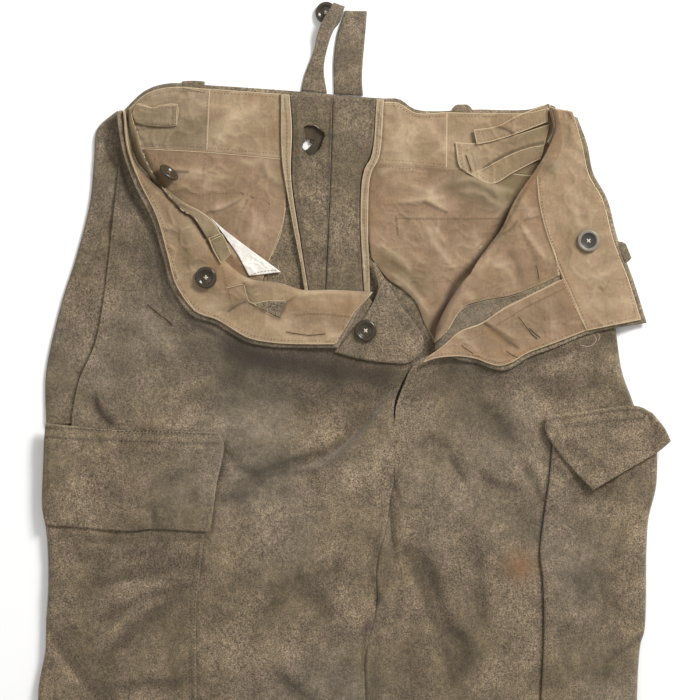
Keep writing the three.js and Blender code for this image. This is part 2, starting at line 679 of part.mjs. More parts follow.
function sewOn(name, colour, across, down, height, above) {
  // lies on the cloth's slope, which is measured across the button's width
  const reach = buttonRadius / square;
  const slopeAcross = (height(across + reach, down) - height(across - reach, down)) / (2 * buttonRadius);
  const slopeDown = (height(across, down + reach) - height(across, down - reach)) / (2 * buttonRadius);
  const level = height(across, down) + above + shankHeight;
  addButton(name, colour, across, down, level, new THREE.Vector3(-slopeAcross, slopeDown, 1));
}

sewOn('button_fly_top', 'button', 206.6, 277.5, flapRightHeight, cottonOver + cotton / 2);
sewOn('button_underlap', 'button', 365.6, 330.7, frontHeight, layer + gap + wool / 2);
sewOn('button_facing', 'greyButton', 588, 241, lapelHeight, cottonOver + cotton / 2);
addButton('button_strap', 'button', 168, 174.5, 12, new THREE.Vector3(0.75, 0.9, 0.5));
addButton('button_back_tab', 'button', 326.5, 12.5, 3.4, new THREE.Vector3(-0.3, 0.06, 1));

// ---------------------------------------------------------------- origin at the middle of the underside
const box = new THREE.Box3().setFromObject(group, true);
const middle = box.getCenter(new THREE.Vector3());
group.position.set(-middle.x, -middle.y, -box.min.z);
group.updateMatrixWorld(true);

export default group;
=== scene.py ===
# %% [markdown]
# # Combat trousers in felted wool, laid open on their back
#
# The trousers lie on a table with the button fly open, and both fronts are turned out at the waist, inside up.
# Cloth like this could be draped by a simulation, but each fold here ends where a seam, a pocket or a strap holds
# it. So every piece of cloth is a grid between its own four edges. The grid is lifted to the height of what lies
# under it, gets its listed creases, and then a wall as thick as the cloth.

# %% Load the imported part, which stays the fixed frame
import math

import bmesh
import bpy
import numpy as np
from mathutils import Matrix, Vector, noise
from mathutils.bvhtree import BVHTree


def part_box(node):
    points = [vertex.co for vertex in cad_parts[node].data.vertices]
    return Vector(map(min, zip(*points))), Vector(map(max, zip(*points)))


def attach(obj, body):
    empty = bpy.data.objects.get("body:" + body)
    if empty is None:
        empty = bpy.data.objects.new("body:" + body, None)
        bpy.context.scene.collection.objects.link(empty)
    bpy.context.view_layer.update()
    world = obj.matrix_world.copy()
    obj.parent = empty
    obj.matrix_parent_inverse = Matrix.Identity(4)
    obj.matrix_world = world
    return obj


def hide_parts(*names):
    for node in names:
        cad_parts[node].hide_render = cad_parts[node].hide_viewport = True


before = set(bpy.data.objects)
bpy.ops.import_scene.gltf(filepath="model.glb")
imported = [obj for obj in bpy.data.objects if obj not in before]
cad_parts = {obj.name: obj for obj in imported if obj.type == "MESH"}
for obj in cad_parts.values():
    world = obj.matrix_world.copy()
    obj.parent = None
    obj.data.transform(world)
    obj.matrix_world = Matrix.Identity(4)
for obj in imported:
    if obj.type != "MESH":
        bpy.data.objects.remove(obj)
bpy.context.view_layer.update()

# %% [markdown]
# ## The drafting sheet and the camera
#
# A pattern cutter draws on squared paper. Here one square is 0.9 mm, a place is counted across and down from the
# sheet's corner, and a height is in millimetres. The belt loop beyond the right waist shows where the sheet lies.
# The camera looks straight down from three metres with a long lens, so that nothing near it is enlarged.

# %% Squares to metres
SQUARE = 0.0009  # metres
SHEET_SIZE = 700  # squares that the camera frames, across and down
MIDDLE = SHEET_SIZE // 2
HEM = 1270
LOOP_LEFT, LOOP_TOP = 184, 80  # where the belt loop lies on the sheet
loop_low, loop_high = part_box("belt_loop_right_back")
SHIFT_ACROSS = loop_low.x - SQUARE * (LOOP_LEFT - MIDDLE)
SHIFT_DOWN = loop_high.y - SQUARE * (MIDDLE - LOOP_TOP)


def to_metres(across, down, height):
    """Places in the part's frame, from squares and millimetres; numbers or arrays."""
    across, down, height = np.broadcast_arrays(across, down, height)
    return np.stack([SQUARE * (across - MIDDLE) + SHIFT_ACROSS, SQUARE * (MIDDLE - down) + SHIFT_DOWN,
                     0.001 * height], axis=-1)


def to_mm(squares):
    return squares * SQUARE * 1000


print("sheet shifted by", round(SHIFT_ACROSS * 1000, 2), round(SHIFT_DOWN * 1000, 2), "mm")

# %% The camera, straight above the middle of the sheet
CAMERA_HEIGHT = 3.0
FRAMED_HEIGHT = 0.007  # at this height the sheet fills the frame exactly
SENSOR = 36
VIEW_WIDTH = SQUARE * SHEET_SIZE

camera_data = bpy.data.cameras.new("camera")
camera_data.type = "PERSP"
camera_data.sensor_width = SENSOR
camera_data.lens = SENSOR * (CAMERA_HEIGHT - FRAMED_HEIGHT) / VIEW_WIDTH
camera = bpy.data.objects.new("camera", camera_data)
camera.location = Vector(to_metres(MIDDLE, MIDDLE, 0)) + Vector((0, 0, CAMERA_HEIGHT))
bpy.context.scene.collection.objects.link(camera)
bpy.context.scene.camera = camera
print("lens", round(camera_data.lens, 1), "mm")

# %% [markdown]
# ## Floor and light
#
# The table is a pale board. A large soft light stands at the upper right, so that folds and flaps throw soft
# shadows down and to the left. A weaker one on the left and a bright room keep the shadows open.

# %% Floor
floor_mesh = bpy.data.meshes.new("floor")
floor_form = bmesh.new()
bmesh.ops.create_grid(floor_form, x_segments=2, y_segments=2, size=6)
floor_form.to_mesh(floor_mesh)
floor_form.free()
floor = bpy.data.objects.new("floor", floor_mesh)
bpy.context.scene.collection.objects.link(floor)


# %% Lights
GARMENT_MIDDLE = Vector((0, 0.1, 0))


def soft_light(name, place, size, power):
    """A square lamp that faces the upper half of the garment."""
    lamp = bpy.data.lights.new(name, "AREA")
    lamp.size, lamp.energy = size, power
    stand = bpy.data.objects.new(name, lamp)
    stand.location = place
    stand.rotation_euler = (GARMENT_MIDDLE - Vector(place)).to_track_quat("-Z", "Y").to_euler()
    bpy.context.scene.collection.objects.link(stand)


soft_light("key_light", (1.25, 1.55, 1.35), 0.7, 58)
soft_light("fill_light", (-1.8, 0.4, 1.9), 1.6, 9)

room = bpy.data.worlds.new("room")
room.use_nodes = True
room.node_tree.nodes["Background"].inputs["Color"].default_value = (1.0, 0.995, 0.985, 1)
room.node_tree.nodes["Background"].inputs["Strength"].default_value = 0.5
bpy.context.scene.world = room
bpy.context.scene.view_settings.view_transform = "Standard"
print("lights:", [lamp.name for lamp in bpy.data.lights])

# %% [markdown]
# ## Finishes
#
# Felted wool is spun from fibres of several colours, so close up it is salt and pepper, and from afar it is
# mottled. A scan of real cloth could be used as an image, but nodes keep their scale on every piece: fine noise
# for the fibres, middle noise for the felt's clumps, wide noise for patches of wear. All patterns read Object
# coordinates. Each piece also carries four painted values: dirt along stitched lines mixed with painted shade in
# creases, hollows, gaps, slits and under rolled edges, straps and flaps; an olive tint on cotton and a rust tint on
# wool, the olive partly painted shade beside the straps; stain, for orange spots; and rims and ridges rubbed light,
# mixed with painted highlight on ridges, edges and lit slopes.


# %% Colours, as they look on a screen
def colour(red, green, blue):
    """A screen colour from 0 to 255, made linear."""
    steps = [value / 255 for value in (red, green, blue)]
    return tuple(s / 12.92 if s <= 0.04045 else ((s + 0.055) / 1.055) ** 2.4 for s in steps) + (1.0,)


WOOL_DARK, WOOL_LIGHT = colour(65, 55, 42), colour(150, 131, 106)
WOOL_OLIVE, WOOL_GREY = colour(102, 90, 63), colour(105, 97, 86)
KHAKI, KHAKI_SHADE = colour(170, 148, 119), colour(141, 116, 88)
LINING, LINING_SHADE = colour(160, 134, 108), colour(126, 103, 77)
OLIVE, OLIVE_SHADE = colour(172, 150, 124), colour(112, 98, 70)
TAPE, TAPE_SHADE = colour(168, 150, 124), colour(143, 124, 98)
# Dark brown for dirt and for painted shade.
DIRT_AND_SHADE = colour(50, 40, 30)
RUST = colour(138, 98, 62)
STAIN = colour(148, 112, 72)
# Pale for rubbed cloth and for painted highlight.
RUBBED_AND_LIT = colour(198, 177, 146)
LABEL = colour(240, 237, 230)


# %% A finish's first nodes
def new_finish(name):
    """A material with its shader, and a function that adds a node and links its inputs by name."""
    finish = bpy.data.materials.new(name)
    finish.use_nodes = True
    tree = finish.node_tree
    shader = tree.nodes["Principled BSDF"]

    def add(kind, **inputs):
        node = tree.nodes.new(kind)
        for key, value in inputs.items():
            if key.startswith("set_"):
                setattr(node, key[4:], value)
        for key, value in inputs.items():
            if key.startswith("set_"):
                continue
            socket = node.inputs[int(key[1:])] if key[0] == "i" and key[1:].isdigit() else node.inputs[key]
            if isinstance(value, bpy.types.NodeSocket):
                tree.links.new(value, socket)
            else:
                socket.default_value = value
        return node

    def link(source, target):
        tree.links.new(source, shader.inputs[target])

    return finish, shader, add, link


def blend_colours(add, share, first, second):
    return add("ShaderNodeMix", set_data_type="RGBA", i0=share, i6=first, i7=second).outputs[2]


def band(add, value, low, high, start=0.0, end=1.0):
    return add("ShaderNodeMapRange", Value=value, **{"From Min": low, "From Max": high, "To Min": start,
                                                     "To Max": end}).outputs[0]


def scaled(add, first, share):
    return add("ShaderNodeVectorMath", set_operation="SCALE", i0=first, i3=share).outputs[0]


def painted_value(add, word, full, start=0.0):
    """A value that is painted on the piece, stretched to run from start to full."""
    return band(add, add("ShaderNodeAttribute", set_attribute_name=word).outputs["Fac"], 0.0, 1.0, start, full)


def bumps(add, *layers):
    """Bumps over one another, each a strength, a depth in metres and a height pattern."""
    normal = {}
    for strength, depth, pattern in layers:
        normal = {"Normal": add("ShaderNodeBump", Strength=strength, Distance=depth, Height=pattern,
                                **normal).outputs[0]}
    return normal["Normal"]


def set_shader(shader, **values):
    """Numbers that are the same all over; an underscore stands for a space."""
    for word, value in values.items():
        shader.inputs[word.replace("_", " ")].default_value = value


# %% Felted wool
def wool_finish(name):
    """Dark and light fibres, olive and grey patches, and the felt's clumps."""
    finish, shader, add, link = new_finish(name)
    place = add("ShaderNodeTexCoord").outputs["Object"]

    def specks(scale, detail=2.0, rough=0.5, turn=None, stretch=1.0):
        where = place if turn is None else add("ShaderNodeMapping", Vector=place, Rotation=(0, 0, turn),
                                               Scale=(1.0, stretch, 1.0)).outputs[0]
        return add("ShaderNodeTexNoise", Vector=where, Scale=scale, Detail=detail, Roughness=rough).outputs[0]

    clumps, tufts, mottle = specks(800, 2.0, 0.6), specks(260, 2.0, 0.55), specks(75, 3.0, 0.6)
    fibres, hairs = specks(700, 1.0, 0.5, 0.6, 0.25), specks(650, 1.0, 0.5, -0.9, 0.22)
    blotches, patches, drift = specks(34), specks(15, 3.0, 0.55), specks(6.5, 2.0, 0.5, 0.4, 0.7)
    heather = WOOL_DARK
    for pattern, low, high, full, second in (
            (clumps, 0.33, 0.69, 1.0, WOOL_LIGHT), (fibres, 0.58, 0.72, 0.45, WOOL_LIGHT),
            (hairs, 0.58, 0.72, 0.45, WOOL_DARK), (patches, 0.42, 0.66, 0.55, WOOL_OLIVE),
            (drift, 0.46, 0.66, 0.45, WOOL_GREY)):
        heather = blend_colours(add, band(add, pattern, low, high, 0.0, full), heather, second)
    for pattern, low, high in ((tufts, 0.82, 1.18), (mottle, 0.78, 1.22), (blotches, 0.83, 1.17),
                               (patches, 1.14, 0.86)):
        heather = scaled(add, heather, band(add, pattern, 0.3, 0.7, low, high))
    # Painted values mixed in: dirt with painted shade, a rust tint, and wear with painted highlight up to 1.42 times as
    # light.
    heather = blend_colours(add, painted_value(add, "soil", 0.85), heather, DIRT_AND_SHADE)
    heather = blend_colours(add, painted_value(add, "fade", 0.75), heather, RUST)
    link(scaled(add, heather, painted_value(add, "worn", 1.42, start=1.0)), "Base Color")
    link(bumps(add, (0.55, 0.0011, clumps), (0.35, 0.0022, mottle)), "Normal")
    set_shader(shader, Roughness=0.95, Specular_IOR_Level=0.15, Sheen_Weight=0.25, Sheen_Roughness=0.6)
    return finish


WOOL = wool_finish("wool_felt")


# %% Cotton twill
RIB_SCALE = 3.2  # ribs a metre that the wave texture makes at a scale of one


def twill_finish(name, main, shade, pitch=0.0011):
    """Cotton twill: slanted ribs, threads of uneven colour, washed-out patches, and dirt, tints and wear mixed with
    painted shade and highlight.
    """
    finish, shader, add, link = new_finish(name)
    place = add("ShaderNodeTexCoord").outputs["Object"]

    def specks(scale, detail, where=place, **more):
        return add("ShaderNodeTexNoise", Vector=where, Scale=scale, Detail=detail, **more).outputs[0]

    turned = add("ShaderNodeMapping", Vector=place, Rotation=(0, 0, 0.95)).outputs[0]
    ribs = add("ShaderNodeTexWave", Vector=turned, Scale=1 / pitch / RIB_SCALE, Distortion=1.2, Detail=2.0,
               **{"Detail Scale": 2.0}).outputs[1]
    slubs = specks(700, 2.0, add("ShaderNodeMapping", Vector=place, Scale=(1.0, 0.12, 1.0)).outputs[0])
    grain, wash = specks(480, 3.0, Roughness=0.6), specks(34, 4.0, Roughness=0.6)
    wide, spots = specks(9, 2.0), specks(21, 3.0, Distortion=0.6)
    cloth_colour = main
    for pattern, low, high, full, second in ((wash, 0.34, 0.66, 0.75, shade), (wide, 0.42, 0.66, 0.45, shade),
                                             (spots, 0.58, 0.74, 0.22, STAIN)):
        cloth_colour = blend_colours(add, band(add, pattern, low, high, 0.0, full), cloth_colour, second)
    for tone in (band(add, grain, 0.3, 0.7, 0.90, 1.10), band(add, slubs, 0.3, 0.7, 0.95, 1.05),
                 band(add, ribs, 0.0, 1.0, 0.97, 1.03)):
        cloth_colour = scaled(add, cloth_colour, tone)
    # The painted values: dirt with painted shade, olive tint with painted shade, stains, and wear with painted
    # highlight.
    for word, full, second in (("soil", 0.80, DIRT_AND_SHADE), ("fade", 0.80, OLIVE_SHADE), ("stain", 0.85, STAIN),
                               ("worn", 0.85, RUBBED_AND_LIT)):
        cloth_colour = blend_colours(add, painted_value(add, word, full), cloth_colour, second)
    link(cloth_colour, "Base Color")
    link(bumps(add, (0.35, 0.0003, ribs), (0.30, 0.0008, grain), (0.35, 0.0030, wash)), "Normal")
    set_shader(shader, Roughness=0.88, Specular_IOR_Level=0.2, Sheen_Weight=0.12)
    return finish


KHAKI_TWILL = twill_finish("khaki_twill", KHAKI, KHAKI_SHADE)
LINING_TWILL = twill_finish("lining_twill", LINING, LINING_SHADE)
OLIVE_TWILL = twill_finish("olive_twill", OLIVE, OLIVE_SHADE)
BOUND_TAPE = twill_finish("bound_tape", TAPE, TAPE_SHADE, 0.0014)
# A dark colour, partly the interlining's own and partly painted shade inside the torn hole.
DARK_CLOTH = twill_finish("dark_interlining", colour(74, 64, 51), colour(52, 45, 36))
LABEL_COTTON = twill_finish("label_cotton", LABEL, colour(222, 216, 204), 0.0009)


# %% Thread, buttons and floor
def plain_finish(name, main, second, scale, rough, bump=0.0):
    """A smooth material whose colour still drifts a little, with a fine bump."""
    finish, shader, add, link = new_finish(name)
    place = add("ShaderNodeTexCoord").outputs["Object"]
    drift = add("ShaderNodeTexNoise", Vector=place, Scale=scale, Detail=4.0, Roughness=0.6).outputs[0]
    link(blend_colours(add, band(add, drift, 0.35, 0.68, 0.0, 0.5), main, second), "Base Color")
    if bump:
        link(bumps(add, (0.3, bump, drift)), "Normal")
    set_shader(shader, Roughness=rough)
    return finish


THREAD = plain_finish("khaki_thread", colour(190, 170, 138), colour(150, 128, 98), 900, 0.8, 0.0004)
WOOL_THREAD = plain_finish("grey_thread", colour(62, 53, 41), colour(48, 41, 32), 900, 0.85, 0.0004)
BROWN_THREAD = plain_finish("brown_thread", colour(112, 90, 64), colour(86, 68, 48), 900, 0.85, 0.0004)
HOLE_THREAD = plain_finish("buttonhole_thread", colour(150, 126, 94), colour(104, 84, 60), 700, 0.85, 0.0004)
SHADOW_THREAD = plain_finish("dark_thread", colour(46, 36, 26), colour(36, 28, 20), 900, 0.9, 0.0004)
RED_THREAD = plain_finish("red_thread", colour(160, 62, 48), colour(120, 50, 40), 900, 0.8, 0.0004)
PALE_THREAD = plain_finish("pale_thread", colour(214, 204, 184), colour(176, 164, 140), 900, 0.8, 0.0004)
DARK_BUTTON = plain_finish("dark_button", colour(54, 45, 33), colour(72, 61, 45), 260, 0.26, 0.0001)
GREY_BUTTON = plain_finish("grey_button", colour(134, 126, 114), colour(108, 101, 91), 260, 0.34, 0.0001)
GREY_RECESS = plain_finish("grey_recess", colour(66, 62, 60), colour(48, 44, 42), 260, 0.3, 0.0001)
FLOOR_BOARD = plain_finish("pale_board", colour(250, 250, 249), colour(246, 246, 245), 3, 0.9)
floor_mesh.materials.append(FLOOR_BOARD)
print("finishes:", sorted(finish.name for finish in bpy.data.materials))

# %% [markdown]
# ## Lines and heights
#
# A cut edge is drawn through a few points, as with a flexible ruler. The same tables of points as in the part's
# source give the edges here, so each piece lies on its solid. Distances to such lines also make the folds: a
# fold is a soft ridge or trough along a line, with a steep and a gentle side, that fades at both ends.


# %% A line through points
def smooth_line(rows, steps=14):
    """Closely spaced points on a centripetal spline through the rows."""
    rows = np.array(rows, float)
    ends = np.vstack([2 * rows[0] - rows[1], rows, 2 * rows[-1] - rows[-2]])
    knots = np.concatenate([[0], np.cumsum(np.linalg.norm(np.diff(ends, axis=0), axis=1) ** 0.5)])
    pieces = []
    for i in range(1, len(ends) - 2):
        t = np.linspace(knots[i], knots[i + 1], steps, endpoint=False)[:, None]

        def mix(first, second, from_knot, to_knot):
            return ((knots[to_knot] - t) * first + (t - knots[from_knot]) * second) / (
                knots[to_knot] - knots[from_knot])

        low, mid, high = (mix(ends[k], ends[k + 1], k, k + 1) for k in (i - 1, i, i + 1))
        pieces.append(mix(mix(low, mid, i - 1, i + 1), mix(mid, high, i, i + 2), i, i + 1))
    return np.vstack([*pieces, rows[-1:]])


def along(line, shares):
    """Points at these shares of a line's length."""
    lengths = np.concatenate([[0], np.cumsum(np.linalg.norm(np.diff(line, axis=0), axis=1))])
    return np.stack([np.interp(np.asarray(shares) * lengths[-1], lengths, line[:, k]) for k in (0, 1)], axis=-1)


def beside(line, across, down):
    """Millimetres from a line, positive on the right hand of its direction, and the share along it."""
    line = np.asarray(line, float)
    steps = np.linalg.norm(np.diff(line, axis=0), axis=1)
    travelled = np.concatenate([[0], np.cumsum(steps)])
    best = np.full(np.shape(across), 1e9)
    side, share = np.ones_like(best), np.zeros_like(best)
    for i, (start, end) in enumerate(zip(line[:-1], line[1:])):
        way = end - start
        t = np.clip(((across - start[0]) * way[0] + (down - start[1]) * way[1]) / max(steps[i] ** 2, 1e-9), 0, 1)
        away = np.hypot(across - start[0] - t * way[0], down - start[1] - t * way[1])
        closer = away < best
        best = np.where(closer, away, best)
        turn = way[0] * (down - start[1]) - way[1] * (across - start[0])
        side = np.where(closer, np.where(turn >= 0, 1.0, -1.0), side)
        share = np.where(closer, (travelled[i] + t * steps[i]) / travelled[-1], share)
    return to_mm(best * side), share


def length_of(line):
    return to_mm(np.linalg.norm(np.diff(line, axis=0), axis=1).sum())


def between(low, high, value):
    """Rises softly from nought at low to one at high."""
    share = np.clip((np.asarray(value, float) - low) / (high - low), 0, 1)
    return share * share * (3 - 2 * share)


# %% The part's own folds, and the heights of the fronts
FOLDS = [[205, 352, 330, 392, 22, 2.6], [262, 462, 372, 442, 11, 2.2], [225, 452, 352, 520, 12, 1.8],
         [94, 394, 126, 426, 9, 1.8], [300, 520, 372, 486, 10, 1.4], [215, 560, 340, 610, 14, 1.6],
         [215, 650, 330, 690, 12, 1.4], [415, 380, 520, 420, 16, 2.0], [412, 470, 515, 494, 13, 1.6],
         [418, 545, 470, 650, 11, 2.2], [480, 520, 505, 640, 13, 1.5], [555, 385, 610, 372, 10, 1.6],
         [120, 860, 300, 900, 20, 2.0], [110, 930, 320, 960, 20, 2.2], [420, 870, 590, 900, 20, 2.0],
         [420, 945, 600, 930, 20, 2.2], [130, 1130, 290, 1150, 16, 1.6], [410, 1140, 570, 1120, 16, 1.6]]
BACK_LEVEL, INNER_LEVEL, OVER_LEVEL, FRONT_LEVEL, LAYER = 1.0, 2.8, 4.6, 5.8, 2.4
COTTON_OVER = 2.2

# Creases: points, the width left of the line and right of it in mm, and the rise in mm.
CREASES = [
    ([[96, 393], [96, 403], [101, 414], [116, 427]], 2.5, 6, -1.8),
    ([[392, 396], [381, 410], [364, 434], [347, 452], [322, 470], [297, 474]], 20, 7, 3.4),
    ([[386, 392], [370, 414], [352, 436], [330, 452], [300, 462], [275, 470], [240, 489]], 6, 6, -2.6),
    ([[226, 452], [252, 438], [282, 436], [300, 446]], 9, 14, 1.6),
    ([[210, 350], [250, 368], [300, 380], [345, 392]], 14, 22, -3.6),
    ([[214, 504], [232, 498], [252, 494]], 3, 6, -1.0),
    ([[222, 447], [238, 466], [262, 482]], 5, 5, -0.8),
    ([[77, 592], [120, 580], [168, 570], [200, 568]], 7, 7, -1.3),
    ([[79, 605], [127, 591], [170, 582]], 6, 6, 1.2),
    ([[86, 627], [132, 605], [178, 588], [198, 580]], 6, 7, -1.5),
    ([[104, 657], [136, 629], [178, 597]], 6, 8, -1.5),
    ([[92, 650], [130, 616], [172, 592]], 5, 5, 1.2),
    ([[88, 699], [132, 685], [168, 683], [200, 680]], 6, 8, -1.3),
    ([[50, 625], [57, 645], [77, 673], [93, 694], [110, 716]], 8, 2.5, -2.4),
    ([[276, 671], [292, 689], [313, 702]], 4, 5, -1.4),
    ([[258, 596], [300, 580], [352, 566]], 7, 9, -1.2),
    ([[281, 588], [318, 600], [330, 640]], 9, 9, -0.9),
    ([[300, 540], [330, 528], [372, 520]], 6, 9, 0.9),
    ([[394, 478], [390, 505], [384, 530], [379, 560], [377, 582], [382, 602], [372, 618], [367, 655], [366, 700]],
     9, 3, 2.4),
    ([[398, 470], [391, 500], [391, 535], [396, 560]], 2.5, 3, -1.4),
    ([[410, 540], [421, 566], [434, 601], [448, 634], [460, 646], [457, 684]], 9, 6, -2.4),
    ([[428, 588], [438, 616], [446, 648]], 5, 6, 1.7),
    ([[477, 552], [480, 585], [484, 628]], 4, 6, -1.8),
    ([[488, 574], [495, 577], [503, 583]], 2, 2, -0.9),
    ([[448, 455], [456, 469], [466, 484]], 4, 3, -1.4),
    ([[476, 468], [493, 483], [517, 489]], 3, 6, -1.3),
    ([[521, 460], [535, 483], [543, 507]], 3, 5, -1.3),
    ([[412, 452], [432, 440], [452, 452]], 5, 8, -1.1),
    ([[428, 374], [470, 380], [512, 378], [548, 362]], 6, 12, -2.2),
    ([[520, 385], [540, 405], [552, 430]], 8, 8, 1.1),
    ([[470, 400], [496, 420], [520, 452]], 9, 9, -1.2),
    ([[441, 490], [470, 520], [515, 536]], 8, 10, 1.2),
    ([[606, 662], [626, 648], [646, 632]], 3, 4, -0.9),
    ([[604, 598], [618, 612]], 3, 3, -0.7),
    ([[60, 470], [120, 486], [200, 478]], 12, 16, -0.6),
    ([[152, 505], [154, 518], [154, 530]], 2.5, 3, -0.9),
    ([[60, 552], [110, 556], [180, 548]], 6, 9, -1.0),
    ([[560, 505], [600, 498], [640, 506]], 9, 9, -0.8),
    ([[556, 590], [588, 576], [630, 580]], 8, 12, -0.7),
    ([[598, 350], [612, 366], [622, 392]], 5, 7, 1.0),
    ([[70, 300], [84, 340], [88, 380]], 8, 6, 0.9),
    ([[110, 240], [140, 262], [150, 300]], 10, 14, -0.8),
    ([[140, 330], [170, 352], [215, 360]], 9, 12, 1.0),
    ([[60, 760], [120, 790], [230, 800], [330, 770]], 12, 20, -2.0),
    ([[80, 900], [160, 880], [240, 842]], 9, 14, -1.6),
    ([[120, 1010], [200, 1030], [300, 1010]], 10, 16, -1.8),
    ([[90, 1090], [170, 1100], [240, 1080]], 12, 12, 1.4),
    ([[140, 1195], [200, 1180], [280, 1200]], 10, 16, -1.2),
    ([[400, 760], [450, 790], [560, 796]], 16, 12, -2.0),
    ([[440, 842], [520, 870], [610, 860]], 10, 16, -1.5),
    ([[400, 1000], [480, 1020], [590, 1000]], 16, 10, -1.8),
    ([[410, 1075], [470, 1080], [560, 1060]], 10, 14, 1.4),
    ([[420, 1190], [500, 1200], [570, 1180]], 10, 12, -1.2),
]
CREASE_GAIN = 2.6
DEEPEST, SINKING = -1.6, 0.2  # hollows stop near this height, in mm, and sink on by this share


def drawn(folds):
    """The same folds with a spline through each one's points."""
    return [(smooth_line(points, 5), *numbers) for points, *numbers in folds]


CREASES = drawn(CREASES)


def wavy(across, down, wide, seed):
    """A smooth random field, its waves about this many squares wide."""
    spots = zip(np.ravel(across), np.ravel(down))
    return np.reshape([noise.noise(Vector((a / wide, d / wide, seed))) for a, d in spots], np.shape(across))


def crinkles(across, down, wide, narrow, seed):
    """Thin raised lines where the field crosses nought, strong in some places and absent in others."""
    lines = np.exp(-(wavy(across, down, wide, seed) / narrow) ** 2)
    return lines * np.clip(0.35 + 1.6 * wavy(across, down, 2.1 * wide, seed + 3), 0, 1)


def wool_waves(across, down):
    """What keeps wide felt from ever lying quite flat."""
    return (1.1 * wavy(across, down, 34, 1.0) + 0.45 * wavy(across, down, 13, 2.0)
            + 0.9 * crinkles(across, down, 44, 0.12, 3.0))


def cotton_waves(across, down):
    """Never below nought, so that layers that share it stay apart."""
    return (0.7 * np.abs(wavy(across, down, 15, 11.0)) + 0.75 * crinkles(across, down, 19, 0.10, 12.0)
            + 0.6 * crinkles(across, 1.6 * np.asarray(down), 12, 0.11, 13.0))


def ridge_or_trough(line, left, right, rise, across, down):
    """One fold, which falls off to both sides and fades to a quarter at both ends."""
    away, share = beside(line, across, down)
    width = np.where(away < 0, left, right)
    ends = between(0, 0.22, share) * between(0, 0.22, 1 - share)
    return rise * (0.25 + 0.75 * ends) * np.exp(-(np.abs(away) / width) ** 1.45)


def relief_of_wool(across, down):
    rise = wool_waves(across, down)
    for points, left, right, high in CREASES:
        rise += ridge_or_trough(points, left, right, CREASE_GAIN * high, across, down)
    return rise


def front_height(across, down):
    across, down = np.broadcast_arrays(np.asarray(across, float), np.asarray(down, float))
    rise = np.zeros(across.shape)
    for x0, y0, x1, y1, width, high in FOLDS:
        rise += high * np.exp(-(beside([[x0, y0], [x1, y1]], across, down)[0] / width) ** 2)
    rise += relief_of_wool(across, down)
    return FRONT_LEVEL + np.maximum(rise, DEEPEST + SINKING * rise)


print("folds:", len(FOLDS), "creases:", len(CREASES))

# %% Outlines in squares, the same as the part's
SIDE_RIGHT = [[116, 109], [97, 129], [94, 155], [90, 200], [75, 260], [62, 300], [46, 370], [45, 400], [47, 423],
              [50, 440], [49, 500], [50, 540], [52, 600], [50, 650], [44, 700], [43, 730], [46, 850], [58, 1000],
              [76, 1150], [88, HEM]]
SIDE_LEFT = [[566, 112], [582, 160], [596, 220], [607, 280], [616, 331], [622, 372], [632, 400], [640, 425],
             [650, 465], [649, 487], [644, 519], [642, 551], [640, 600], [637, 640], [633, 700], [633, 730],
             [634, 850], [626, 1000], [612, 1150], [600, HEM]]
LEG_DIVISION = [[394, 482], [390, 505], [384.5, 535], [379, 558], [377, 579], [378.5, 600], [374.5, 618], [369, 640],
                [366, 661], [366, 700]]
INNER_LEG_RIGHT = LEG_DIVISION + [[360, 850], [340, 1000], [318, 1150], [305, HEM]]
INNER_LEG_LEFT = LEG_DIVISION + [[373, 850], [379, 1000], [382, 1150], [386, HEM]]
BESIDE_LEG = 0.35
CENTRE_BACK = [[333, 94], [330, 190], [325, 290], [345, 400], [388, 474]]
CROTCH = 482
RIDGE_RIGHT = [[125, 109], [129, 138], [134, 161], [145, 175], [158, 187], [177, 202], [197, 221], [207, 238],
               [218, 253], [232, 267], [250, 279], [280, 283], [303, 290], [331, 290], [373, 292]]
WAIST_RIGHT = [[117, 113], [123, 150], [136, 187], [152, 219], [163, 257], [172, 288], [193, 316], [215, 324],
               [247, 342], [273, 347], [310, 348], [338, 348]]
FLY_END_RIGHT = [[357, 313], [350, 326]]
RIDGE_LEFT = [[550, 107], [554, 132], [549, 147], [540, 164], [514, 210], [494, 249], [460, 286], [440, 320],
              [432, 348]]
WAIST_LEFT = [[577, 118], [587, 145], [593, 173], [607, 199], [618, 240], [633, 279], [647, 323]]
FLY_EDGE_LEFT = [[461, 360.6], [479, 363.6], [490, 368], [500, 370.4], [511, 368.4], [528, 358], [555, 347.6],
                 [588, 334],
                 [618, 327.6]]
SLANT_MOUTH = [[119, 160], [115, 200], [96, 340], [79, 381], [72, 416], [70, 428], [53, 431]]
FRONT_RIGHT_EDGE = [[386, 320], [405, 350], [408.5, 364], [405, 376], [399, 388], [394.3, 404], [393.6, 440]]
FLY_FOLD_LEFT = [[395.8, 407], [398.5, 398], [404, 384], [409.5, 371], [416, 362], [424, 357]]


def moved(rows, across, down=0.0):
    """The same points, so many squares further on."""
    return [[row[0] + across, row[1] + down] for row in rows]


# %% Heights of the turned-out fronts
RIDGE_LIFT_RIGHT, RIDGE_LIFT_LEFT, RESTING_LIFT = 8.4, 7.4, 2.8
SIDE_FALL = 4.4  # how far the lapel bends down over the side of the leg


def turned_right_height(across, down):
    """The right front, turned out: high at its fold, and resting on the front further down."""
    away = np.abs(beside(RIDGE_RIGHT, across, down)[0])
    resting = RESTING_LIFT + LAYER * between(288, 326, across)
    raised = np.maximum(RIDGE_LIFT_RIGHT, resting + 1.5)
    return front_height(across, down) + raised + (resting - raised) * between(4, 40, away)


